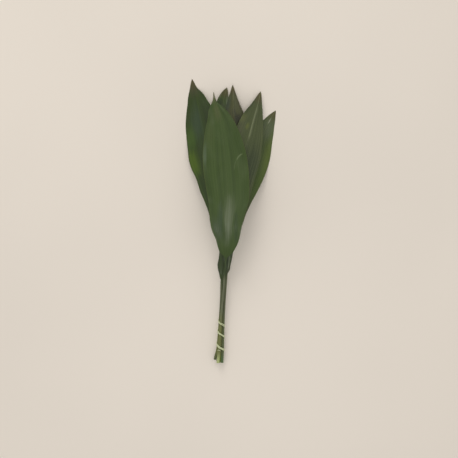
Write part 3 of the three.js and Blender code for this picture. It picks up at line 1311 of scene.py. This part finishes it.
@dataclass(frozen=True)
class Strand:
    """A strand of rubber, whose section is a rectangle with well rounded edges."""

    width: float = 2.1
    thickness: float = 1.0
    roundness: float = 0.45
    section_points: int = 20

    def sweep(
        self, draft: MeshDraft, line: Floats, out: Floats, widths: Floats, closed: bool
    ) -> None:
        """Sweeps the section along a line.

        Args:
            draft: The band's mesh so far.
            line: Points of the line.
            out: The way its wide face looks at each.
            widths: The share of its full section at each.
            closed: Whether its ends meet.
        """
        tangent = np.gradient(line, axis=0)
        if closed:
            tangent = np.roll(line, -1, axis=0) - np.roll(line, 1, axis=0)
        tangent /= np.linalg.norm(tangent, axis=1, keepdims=True)
        beside = np.cross(out, tangent)
        beside /= np.linalg.norm(beside, axis=1, keepdims=True)
        up = np.cross(tangent, beside)
        angle = np.linspace(0, TURN, self.section_points, endpoint=False)
        wide = np.sign(np.cos(angle)) * np.abs(np.cos(angle)) ** self.roundness * self.width / 2
        high = np.sign(np.sin(angle)) * np.abs(np.sin(angle)) ** self.roundness * self.thickness / 2
        section = beside[:, None] * wide[None, :, None] + up[:, None] * high[None, :, None]
        rings = line[:, None] + widths[:, None, None] * section
        runs = np.zeros_like(rings)
        runs[..., 0] = np.cos(angle)[None]
        runs[..., 1] = length_along(line)[:, None] * MM
        runs[..., 2] = wide[None] * MM
        numbers = draft.add_points(rings, runs, np.ones(rings.shape[:2]))
        numbers = np.concatenate([numbers, numbers[:, :1]], axis=1)
        if closed:
            draft.add_grid(np.concatenate([numbers, numbers[:1]], axis=0))
            return
        draft.add_grid(numbers)
        for end, rim in ((0, numbers[0, -2::-1]), (-1, numbers[-1, :-1])):
            middle = draft.add_points(rings[end].mean(axis=0)[None], np.zeros((1, 3)), np.ones(1))
            draft.add_fan(rim, int(middle[0]))


@dataclass(frozen=True)
class BandHook:
    """The looped end of the band, which shows where it passes over the front leaf's stalk."""

    seat: Pair
    starts_at: float = 28.6
    arches: float = 2.2
    falls: float = 1.4
    goes_round: float = 196.0
    above_stalk: float = 0.42
    ends_sink: float = 0.06
    share: float = 0.62
    ends_thin: float = 0.12
    points: int = 40

    def build(self, draft: MeshDraft, strand: Strand, bundle: Bundle) -> None:
        """Adds the hook.

        Args:
            draft: The band's mesh so far.
            strand: The strand that it is made of.
            bundle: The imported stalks.
        """
        t = np.linspace(0, 1, self.points)
        angle = np.radians(self.goes_round - self.goes_round * t)
        y = self.starts_at + self.arches * np.sin(np.pi * t) ** 1.5 - self.falls * t
        x, z = bundle.place(self.seat, y)
        ends = np.abs(2 * t - 1) ** 3
        radius = bundle.radius(y) + self.above_stalk - self.ends_sink * ends
        line = np.stack([x + radius * np.cos(angle), y, z + radius * np.sin(angle)], axis=1)
        out = np.stack([np.cos(angle), np.zeros(len(t)), np.sin(angle)], axis=1)
        strand.sweep(draft, line, out, self.share - self.ends_thin * ends, closed=False)


@dataclass(frozen=True)
class RubberBand:
    """One rubber band, doubled, wound up the stalks from a loop hooked over the front leaf's stalk.

    Its turns are counted in steps, and at step 0 it is on top of the bundle. It climbs evenly but
    for a push up halfway, a slow rise, and a lift at each end, given as (height, share of the way
    up). Its two strands lie a spacing off its middle line, with some slack, and cross once.
    """

    seats: tuple[Pair, ...]
    strand: Strand = Strand()
    above_stalks: float = 0.62
    start: float = 22.0
    pitch: float = 27.0
    pushed_up: float = 6.0
    rises: float = 0.6
    lifts: tuple[Pair, ...] = ((2.0, 0.05), (2.4, 0.98))
    lift_reach: float = 0.05
    first_step: float = -10.0
    last_step: float = 57.0
    steps_per_turn: int = 24
    fineness: int = 10
    point_spacing: float = 0.55
    spacing: float = 1.18
    joins_over: float = 5.0
    slack: float = 0.12
    slack_waves: float = 5.3
    crosses_at: float = 0.52
    crosses_over: float = 0.05
    crosses_close: float = 0.45
    crosses_high: float = 0.5
    ends_dip: float = 0.02
    thins: float = 0.2

    def anchors(self, bundle: Bundle) -> tuple[Floats, Numbers]:
        """Where the band turns round the stalks.

        Args:
            bundle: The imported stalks.

        Returns:
            The way that it faces at each fine step, and the stalk that it then touches.
        """
        count = int((self.last_step - self.first_step) * self.fineness) + 1
        steps = np.linspace(self.first_step, self.last_step, count)
        angle = np.pi / 2 + TURN * steps / self.steps_per_turn
        climbed = self.start + self.pitch * (steps - self.first_step) / self.steps_per_turn
        centres = np.array([bundle.place(seat, climbed) for seat in self.seats])
        reach = centres[:, 0] * np.cos(angle) + centres[:, 1] * np.sin(angle)
        return angle, reach.argmax(axis=0)

    def loop_points(
        self, angle: Floats, touched: Numbers, y: Floats, grown: float, bundle: Bundle
    ) -> Floats:
        """Points on a loop that is grown outwards from the stalks.

        Args:
            angle: Which way the loop faces at each.
            touched: The stalk touched at each.
            y: Where each is along the bundle.
            grown: How far outside the stalks it is.
            bundle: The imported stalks.

        Returns:
            x, y and z of each.
        """
        places = np.array([bundle.place(seat, y) for seat in self.seats])
        pick = np.arange(len(angle))
        radius = bundle.radius(y) + grown
        x = places[touched, 0, pick] + radius * np.cos(angle)
        return np.stack([x, y, places[touched, 1, pick] + radius * np.sin(angle)], axis=1)

    def course(self, bundle: Bundle) -> tuple[Floats, Floats]:
        """The band's middle line and the way it faces.

        Args:
            bundle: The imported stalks.

        Returns:
            Evenly spaced points, and a unit vector away from the stalks at each.
        """
        angle, touched = self.anchors(bundle)
        flat = self.loop_points(angle, touched, np.full(len(angle), self.start), bundle.gap, bundle)
        stretch = np.linalg.norm(np.diff(flat, axis=0), axis=1)
        around = stretch[: self.steps_per_turn * self.fineness].sum()
        climbed = np.concatenate([[0.0], np.cumsum(self.pitch * stretch / around)])
        share = np.linspace(0, 1, len(angle))
        y = self.start + climbed + self.pushed_up * np.sin(np.pi * share) + self.rises * share
        for height, where in self.lifts:
            y = y + height * bell(share, where, self.lift_reach)
        line = self.loop_points(angle, touched, y, self.above_stalks, bundle)
        along = length_along(line)
        even = np.linspace(0, along[-1], int(along[-1] / self.point_spacing))
        points = np.stack([np.interp(even, along, line[:, k]) for k in range(3)], axis=1)
        facing = np.interp(even, along, angle)
        out = np.stack([np.cos(facing), np.zeros(len(facing)), np.sin(facing)], axis=1)
        return points, out

    def closed_line(self, bundle: Bundle) -> tuple[Floats, Floats]:
        """The doubled band's closed middle line: up along one strand and back along the other.

        Args:
            bundle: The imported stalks.

        Returns:
            Its points, and the way that its wide face looks at each.
        """
        line, out = self.course(bundle)
        tangent = np.gradient(line, axis=0)
        tangent /= np.linalg.norm(tangent, axis=1, keepdims=True)
        beside = np.cross(out, tangent)
        w = np.linspace(0, 1, len(line))
        to_end = np.minimum(w, 1 - w) * len(line) * self.point_spacing
        ends = np.minimum(1, to_end / self.joins_over)
        crossing = bell(w, self.crosses_at, self.crosses_over)
        apart = self.spacing * np.sqrt(np.clip(1 - (1 - ends) ** 2, 0.0, 1))
        apart = apart * (1 + self.slack * np.sin(TURN * self.slack_waves * w))
        aside = beside * (apart * (1 - self.crosses_close * crossing))[:, None]
        dip = (1 - ends)[:, None] * out * self.ends_dip
        lower = line + aside - dip
        upper = line - aside + out * (self.crosses_high * crossing)[:, None] - dip
        return np.concatenate([lower, upper[::-1]]), np.concatenate([out, out[::-1]])

    def build(self, bundle: Bundle, finish: RubberFinish) -> bpy.types.Object:
        """Builds and dresses the band.

        Args:
            bundle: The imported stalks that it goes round.
            finish: Its rubber.

        Returns:
            The piece, in place of its solid.
        """
        draft = MeshDraft()
        line, out = self.closed_line(bundle)
        thinned = 1.0 - self.thins * np.sin(np.pi * np.linspace(0, 1, len(line))) ** 2
        self.strand.sweep(draft, line, out, thinned, closed=True)
        BandHook(self.seats[-1]).build(draft, self.strand, bundle)
        piece = draft.finish("rubber_band", [finish.material()])
        return stand_for(piece, "band")


# ---- Floor, lights and camera ----


@dataclass(frozen=True)
class SoftLight:
    """A soft light that faces the bunch: where it is and how large, in metres, and how strong."""

    name: str
    place: tuple[float, float, float]
    size: Pair
    watts: float
    colour: tuple[float, float, float]

    def build(self) -> None:
        """Puts the light in the scene."""
        lamp = bpy.data.lights.new(self.name, "AREA")
        lamp.shape = "RECTANGLE"
        lamp.size, lamp.size_y = self.size
        lamp.energy = self.watts
        lamp.color = self.colour
        holder = bpy.data.objects.new(self.name, lamp)
        place = Vector(self.place)
        holder.location = place
        holder.rotation_euler = (-place).to_track_quat("-Z", "Y").to_euler()
        bpy.context.scene.collection.objects.link(holder)


@dataclass(frozen=True)
class PaleFloor:
    """A wide plain sheet just under the bunch, in faint clouds of two close tones."""

    size: float = 9.0
    drop: float = 0.0001
    colour: Colour = paint(235, 228, 219)
    lighter: float = 1.04
    clouds_per_metre: float = 1.3
    roughness: float = 0.85
    specular: float = 0.2

    def material(self) -> bpy.types.Material:
        """Makes the floor's material.

        Returns:
            The material.
        """
        bench = NodeBench("pale_floor")
        cloud = bench.noise(bench.place(), self.clouds_per_metre)
        pale = tuple(min(1.0, channel * self.lighter) for channel in self.colour[:3]) + (1.0,)
        bench.dress(bench.mix(bench.level(cloud, 0.3, 0.7), self.colour, pale), self.roughness)
        bench.shader.inputs["Specular IOR Level"].default_value = self.specular
        return bench.material

    def build(self) -> None:
        """Lays the floor just under the bunch."""
        half = self.size / 2
        corners = [(-half, -half), (half, -half), (half, half), (-half, half)]
        mesh = bpy.data.meshes.new("floor")
        mesh.from_pydata([(x, y, -self.drop) for x, y in corners], [], [(0, 1, 2, 3)])
        mesh.materials.append(self.material())
        floor = bpy.data.objects.new("floor", mesh)
        bpy.context.scene.collection.objects.link(floor)


@dataclass(frozen=True)
class Studio:
    """A pale floor, soft light from all round, two lights, and a camera that looks straight down.

    The light beyond the tips gives form, and the one over the stalks the sheen along the front
    leaf's channel, over painted sheen in the leaf's colour. The camera's focal length is in pixels
    of a view that is view_pixels wide.
    """

    floor: PaleFloor = PaleFloor()
    lights: tuple[SoftLight, ...] = (
        SoftLight("key", (-0.9, 3.2, 2.0), (2.0, 2.0), 46.0, (1.0, 0.97, 0.92)),
        SoftLight("sheen", (-0.02, -0.5, 2.1), (0.26, 0.8), 5.0, (1.0, 0.98, 0.95)),
    )
    sky: Colour = (1.0, 0.965, 0.92, 1.0)
    sky_strength: float = 0.62
    camera_height: float = 1.9
    camera_over: Pair = (0.0, 307.0)
    sensor: float = 36.0
    focal_pixels: float = 823.0
    view_pixels: float = 458.0

    def light_all_round(self) -> None:
        """Sets up even light from all round."""
        world = bpy.data.worlds.new("room")
        world.use_nodes = True
        back = world.node_tree.nodes["Background"]
        back.inputs["Color"].default_value = self.sky
        back.inputs["Strength"].default_value = self.sky_strength
        bpy.context.scene.world = world

    def place_camera(self) -> None:
        """Puts the camera above the bunch, with the tips at the top of its view."""
        data = bpy.data.cameras.new("camera")
        data.sensor_width = self.sensor
        data.lens = self.sensor * self.focal_pixels / self.view_pixels
        holder = bpy.data.objects.new("camera", data)
        x, y = (np.array(self.camera_over) - ORIGIN[:2]) * MM
        holder.location = (x, y, self.camera_height)
        bpy.context.scene.collection.objects.link(holder)
        bpy.context.scene.camera = holder

    def build(self) -> None:
        """Sets up the floor, the lights, the camera and plain colours."""
        self.floor.build()
        self.light_all_round()
        for light in self.lights:
            light.build()
        self.place_camera()
        scene = bpy.context.scene
        scene.view_settings.view_transform = "Standard"
        scene.view_settings.look = "None"
        LOG.info("studio: floor, %d lights, camera %.1f m up", len(self.lights), self.camera_height)


# ---- The bunch ----

BRIGHT_FOOT = paint(120, 142, 60)
GREEN_CUT = CutFinish("cut_green", paint(150, 158, 104), paint(88, 104, 56))
PALE_CUT = CutFinish("cut_pale", paint(196, 200, 142), paint(134, 146, 88))
DARK_CUT = CutFinish("cut_dark", paint(120, 108, 72), paint(70, 66, 40))

# From the lowest leaf to the front one.
LEAVES = (
    Leaf(
        name="leaf_low_centre",
        slot=Slot.LEAF_GREEN,
        seat=(-0.5, -ROW),
        cut=2,
        heights=(-8.2, 0),
        waves=(Wave(1, 3, 0.1), Wave(0.8, 3, 0.6)),
        midrib=(
            (150, -16), (190, -12.7), (245, -9.5), (310, -11), (380, -14), (440, -18), (500, -20),
            (550, -18), (590, -14), (605, -12), (631, -5),
        ),
        outline=(
            (176, 2.4, 2.4), (184, 5.5, 3), (191, 8, 3.6), (198, 9.6, 4.2), (205, 11.5, 5),
            (212, 13.9, 6.3), (219, 15.5, 7.6), (226, 16.1, 9), (240, 13.9, 10), (262, 13, 13),
            (293, 21, 20), (322, 29, 27), (350, 34, 33), (400, 39, 38), (450, 40.5, 40),
            (500, 38.5, 38.5), (540, 33, 33), (570, 24, 24), (596, 16, 15), (606, 13.2, 11.4),
            (616, 9.8, 7.8), (625, 5.6, 4.4), (632.5, 0.8, 0.8),
        ),
        finish=LeafFinish(
            "leaf_low_centre_green", paint(48, 66, 24), paint(66, 86, 32), paint(110, 122, 74),
            patches=(
                # painted reflection: a teal gloss along the right half near the tip
                Patch((0.7, 586), (0.4, 20), (56, 74, 54), 0.7),
                Patch((-0.4, 597), (0.6, 13), (38, 54, 20), 0.85),
                Patch((0.1, 622), (1.2, 17), (54, 58, 24), 0.9),
                Streak((-8.5, 618), (-10.5, 606), 1.6, (98, 96, 80), 0.6),
                # painted highlight: a pale blue-green line on the right half near the tip
                Streak((5.5, 618), (8.0, 588), 2.0, (112, 124, 104), 0.5, bow=-1.0),
                Patch((0.0, 222), (2.0, 34), (42, 58, 26), 0.6),
                Streak((-14.0, 240), (-9.6, 198), 1.9, (42, 42, 18), 0.65),
                Streak((-8.6, 240), (-6.4, 196), 1.3, (108, 120, 86), 0.6),
                Streak((-5.4, 246), (-3.8, 190), 1.4, (30, 44, 18), 0.75),
            ),
        ),
        cut_finish=GREEN_CUT,
        seed=1,
    ),
    Leaf(
        name="leaf_low_right",
        slot=Slot.LEAF_GREEN,
        seat=(0.5, -ROW),
        cut=0.8,
        heights=(-4.3, 4.8),
        waves=(Wave(0.8, 3, 0.3), Wave(1.5, 3.5, 0.2)),
        midrib=(
            (150, -11.6), (190, -8.6), (245, -3), (305, 4), (370, 18), (407, 36), (443, 52),
            (476, 65), (516, 77), (549, 89), (579.3, 107.3),
        ),
        outline=(
            (198, 2.4, 4.2), (206, 3.6, 7.4), (213, 5, 8.7), (223, 7, 8.5), (233, 8, 9.8),
            (246, 9, 10.8), (265, 12, 12.2), (293, 18, 18), (322, 24, 24.4), (350, 28, 28),
            (368, 30, 31), (405, 32, 32.2), (443, 33, 33.2), (472, 30, 31.2), (500, 26, 27),
            (520, 22, 23.5), (540, 16.5, 19.7), (560, 10, 12.8), (572, 5, 5.7), (580.5, 0.8, 0.8),
        ),
        finish=LeafFinish(
            "leaf_low_right_green", paint(52, 68, 26), paint(70, 88, 36), paint(110, 122, 74),
            foot=BRIGHT_FOOT,
            patches=(
                Patch((0.2, 543), (1.5, 36), (88, 97, 72), 0.65),
                Patch((0.85, 482), (0.5, 58), (85, 102, 34), 0.7),
                # painted highlight: a near-white glint by the midrib
                Patch((0.02, 557), (0.14, 7), (168, 170, 150), 0.8),
                Patch((0.3, 420), (1.0, 40), (64, 88, 14), 0.6),
                Patch((0.0, 232), (2.0, 34), (52, 70, 40), 0.7),
                Streak((9.8, 252), (6.4, 210), 1.5, (50, 46, 24), 0.65),
            ),
        ),
        cut_finish=GREEN_CUT,
        seed=2,
    ),
    Leaf(
        name="leaf_middle",
        slot=Slot.LEAF_OLIVE,
        seat=(0, 0),
        cut=0.4,
        heights=(-0.2, 9.6),
        waves=(Wave(1, 3.2, 0.7), Wave(1.2, 2.8, 0.25)),
        midrib=(
            (150, -13.6), (190, -11), (245, -7), (290, -3), (340, 2), (400, 8), (440, 12),
            (500, 15), (540, 14), (575, 10.4), (634.7, 8.5),
        ),
        outline=(
            (202, 2.4, 2.4), (215, 6, 5.5), (226, 9, 7.5), (245, 9.5, 9.5), (265, 12.5, 13),
            (293, 21, 20), (322, 29, 27), (350, 34, 33.5), (400, 40, 39.5), (450, 42, 42),
            (500, 40.5, 40.5), (540, 33, 33), (570, 22.5, 23.1), (590, 16, 15.6), (609, 10, 9.1),
            (622, 5.4, 5.1), (630, 3, 2.8), (636.7, 0.8, 0.8),
        ),
        finish=LeafFinish(
            "leaf_middle_olive", paint(54, 58, 31), paint(75, 79, 43), paint(116, 118, 78),
            foot=BRIGHT_FOOT,
            patches=(
                Patch((0.6, 596), (0.5, 34), (78, 82, 56), 0.6),
                Patch((-0.8, 592), (0.45, 24), (48, 62, 46), 0.8),
                Patch((0.95, 590), (0.18, 24), (62, 54, 32), 0.7),
                Patch((0.1, 626), (1.3, 14), (50, 46, 26), 0.85),
                Patch((0.35, 558), (0.45, 15), (40, 42, 34), 0.8),
                Patch((0.04, 574), (0.25, 9), (54, 58, 44), 0.6),
                Streak((0.8, 624), (1.2, 600), 1.0, (110, 116, 90), 0.5),
                Patch((0.0, 228), (2.0, 36), (46, 64, 34), 0.85),
            ),
        ),
        cut_finish=GREEN_CUT,
        seed=3,
    ),
    Leaf(
        name="leaf_left",
        slot=Slot.LEAF_GREEN,
        seat=(-1, 0),
        cut=6.8,
        heights=(3.8, 15),
        waves=(Wave(2.2, 3.2, 0.15), Wave(0.8, 3, 0.5)),
        midrib=(
            (150, -18.4), (190, -17), (240, -10.5), (300, -9.5), (352, -12), (380, -20.5),
            (412, -29.5), (441, -39.5), (465, -48), (488, -52), (540, -60.5), (607, -74.3),
            (653, -85.4),
        ),
        outline=(
            (192, 2.4, 2.4), (205, 6, 6), (226, 10, 9.5), (245, 9.5, 11), (265, 11.5, 14),
            (293, 20, 22), (322, 30.4, 30), (350, 35, 35), (377, 36.3, 37), (405, 40.2, 40),
            (436, 40.1, 42), (470, 43.1, 43), (500, 42, 42.5), (525, 40.9, 40.5), (550, 38.4, 37),
            (577, 31.5, 30.3), (600, 23.6, 22.2), (615, 18.8, 16.4), (632, 10.8, 6.6),
            (645, 4.8, 3), (653, 0.8, 0.8),
        ),
        finish=LeafFinish(
            "leaf_left_green", paint(34, 51, 8), paint(49, 69, 15), paint(84, 98, 58),
            foot=paint(84, 92, 62), rib_shows=0.06,
            patches=(
                Patch((-0.3, 552), (0.45, 52), (50, 70, 52), 0.6),
                # painted shade: the right half darker where the front leaf shades it
                Patch((0.45, 566), (0.5, 40), (36, 50, 22), 0.6),
                # these two: painted light, the left half brighter yellow-green where light falls on
                # it
                Patch((-0.78, 520), (0.36, 36), (64, 94, 20), 0.55),
                Patch((-0.8, 466), (0.36, 30), (78, 104, 8), 0.68),
                Patch((-0.1, 640), (1.4, 30), (74, 70, 48), 0.7),
                Patch((-0.3, 392), (0.9, 60), (40, 58, 20), 0.6),
                Streak((1.0, 200), (0.8, 98), 1.3, (138, 142, 116), 0.5),
            ),
        ),
        cut_finish=DARK_CUT,
        rib_on_top=0.45,
        seed=4,
    ),
    Leaf(
        name="leaf_right",
        slot=Slot.LEAF_OLIVE,
        seat=(1, 0),
        cut=-0.4,
        heights=(8, 20),
        waves=(Wave(1, 3, 0.2), Wave(1.6, 3.3, 0.55)),
        midrib=(
            (150, -9.2), (190, -6.2), (245, -3), (300, 1), (340, 4), (380, 8), (410, 14), (443, 23),
            (468, 31), (490, 38), (516, 45.4), (560, 57), (584, 64), (621.3, 72.5),
        ),
        outline=(
            (208, 2.4, 2.4), (220, 5.5, 5.5), (245, 9.5, 9), (265, 13, 12.5), (293, 20.5, 18),
            (322, 28, 25.5), (350, 33.5, 32.5), (380, 37.5, 37.5), (410, 39.5, 40),
            (441, 40.5, 40.5), (474, 40, 39.4), (500, 37.5, 35.3), (530, 32.5, 29.5),
            (560, 26.4, 21.6), (592, 13.7, 10.6), (607, 7.6, 6.1), (616, 4, 3.6), (623.5, 0.8, 0.8),
        ),
        finish=LeafFinish(
            "leaf_right_olive", paint(56, 66, 36), paint(74, 84, 48), paint(124, 134, 94),
            shank=paint(94, 104, 68), foot=paint(86, 108, 70),
            rib_shows=0.75, rib_from=(296.0, 316.0),
            patches=(
                Patch((-0.9, 552), (0.3, 14), (98, 106, 56), 0.5),
                Patch((-0.34, 538), (0.14, 10), (100, 108, 48), 0.55),
                Patch((-0.75, 528), (0.3, 34), (78, 76, 60), 0.35),
                Patch((0.0, 612), (1.3, 20), (82, 72, 48), 0.6),
                # painted shadow of the front leaf's right margin
                Patch((0.5, 455), (0.8, 56), (43, 55, 32), 0.8),
                Patch((0.0, 232), (2.0, 36), (50, 68, 38), 0.85),
                Streak((4.4, 250), (2.6, 206), 1.1, (116, 126, 98), 0.65),
                Streak((2.0, 250), (1.2, 200), 1.0, (30, 42, 20), 0.75),
                # partly the midrib's own pale line, partly painted sheen along it
                Streak((0.8, 508), (0.4, 592), 4.2, (104, 111, 82), 0.65),
            ),
        ),
        cut_finish=GREEN_CUT,
        seed=5,
    ),
    Leaf(
        name="leaf_front",
        slot=Slot.LEAF_GREEN,
        seat=(-0.4, ROW),
        cut=0,
        heights=(12.4, 26.2),
        waves=(Wave(1.8, 3.4, 0.4), Wave(2, 3, 0.05)),
        midrib=(
            (150, -14), (190, -11), (246, -6.8), (282, -4.5), (327, -4.5), (370, -2.4), (401, -3.4),
            (433, -6.1), (485, -10.6), (517, -14.2), (551, -19), (579, -26.2), (602, -33),
            (618, -35.2),
        ),
        outline=(
            (235, 2.2, 2.2), (244, 8, 8), (254, 14.9, 14.4), (268, 20.8, 21.2), (283, 25.1, 26.9),
            (304, 33.6, 31.5), (328, 38.7, 36.6), (354, 42, 42.2), (375, 44.8, 47.4),
            (400, 47.8, 49.3), (428, 50.2, 50.7), (455, 50.9, 50.3), (480, 49.6, 47.7),
            (498, 46.8, 43.9), (520, 41.8, 38.6), (545, 34.4, 30), (565, 26.7, 21.2),
            (582, 19.8, 11.5), (593, 10.6, 4.2), (603, 3.0, 2.4), (618, 0.7, 0.7),
        ),
        finish=LeafFinish(
            "leaf_front_green", paint(48, 68, 20), paint(61, 82, 30), paint(82, 98, 52),
            tip=paint(134, 130, 100), neck=paint(112, 117, 92), foot=paint(184, 194, 136),
            rib_shows=0.25, green_before=42.0, gloss=0.4,
            patches=(
                # painted highlight on the curled left margin
                Patch((-0.92, 480), (0.12, 30), (92, 108, 88), 0.5),
                Patch((-0.72, 528), (0.3, 46), (80, 94, 52), 0.4),
                Patch((-0.1, 574), (0.5, 26), (78, 80, 42), 0.45),
                # these two: painted shade on the channel's left wall, with a bluish painted
                # reflection
                Patch((-0.42, 322), (0.2, 46), (54, 74, 56), 0.5),
                Patch((-0.62, 306), (0.3, 30), (56, 70, 48), 0.5),
                # this patch and the next line: painted sheen along the channel's floor
                Patch((0.1, 334), (0.34, 50), (103, 114, 88), 0.75),
                Streak((2.2, 388), (1.2, 266), 8.0, (100, 112, 86), 0.3),
                # painted shade on the channel's right wall
                Streak((19.5, 352), (20.0, 272), 7.0, (44, 64, 30), 0.65),
                Patch((-0.1, 262), (0.7, 22), (76, 98, 38), 0.2),
                Patch((0.0, 216), (2.0, 26), (44, 61, 30), 0.7),
                Patch((0.72, 440), (0.3, 34), (76, 92, 54), 0.45),
                # these two: painted highlight along the crease's upper edge
                Streak((41, 473), (25, 459), 2.2, (114, 128, 90), 0.5, bow=2.4),
                Streak((25.5, 461), (18.5, 438), 1.8, (90, 106, 70), 0.35, bow=1.6),
                # painted sheen along the top of the stalk
                Streak((-0.9, 204), (-0.7, 96), 1.1, (146, 150, 122), 0.5),
                Streak((-2.0, 246), (-1.7, 192), 0.8, (30, 44, 16), 0.8),
                Streak((2.2, 248), (1.8, 192), 0.8, (30, 44, 16), 0.8),
                Streak((0.3, 240), (0.2, 196), 0.7, (104, 118, 86), 0.5),
            ),
        ),
        cut_finish=PALE_CUT,
        fold=TOP_FOLD,
        channel=11.0,
        fold_reach=38.0,
        rib_on_top=0.2,
        blade_rows=280,
        creases=(Crease((0.86, 477), (0.33, 434), bow=7.0, rise=1.15, steep=1.7, slow=11.0),),
        seed=6,
    ),
)


def main() -> None:
    """Builds the leaves from the lowest to the front one, the band, and the studio."""
    logging.basicConfig(level=logging.INFO, format="%(name)s: %(message)s")
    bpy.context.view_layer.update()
    bundle, layers = Bundle(), Layers()
    for leaf in LEAVES:
        leaf.build(bundle, layers)
    RubberBand(tuple(leaf.seat for leaf in LEAVES)).build(bundle, RubberFinish())
    Studio().build()


if __name__ == "__main__":
    main()
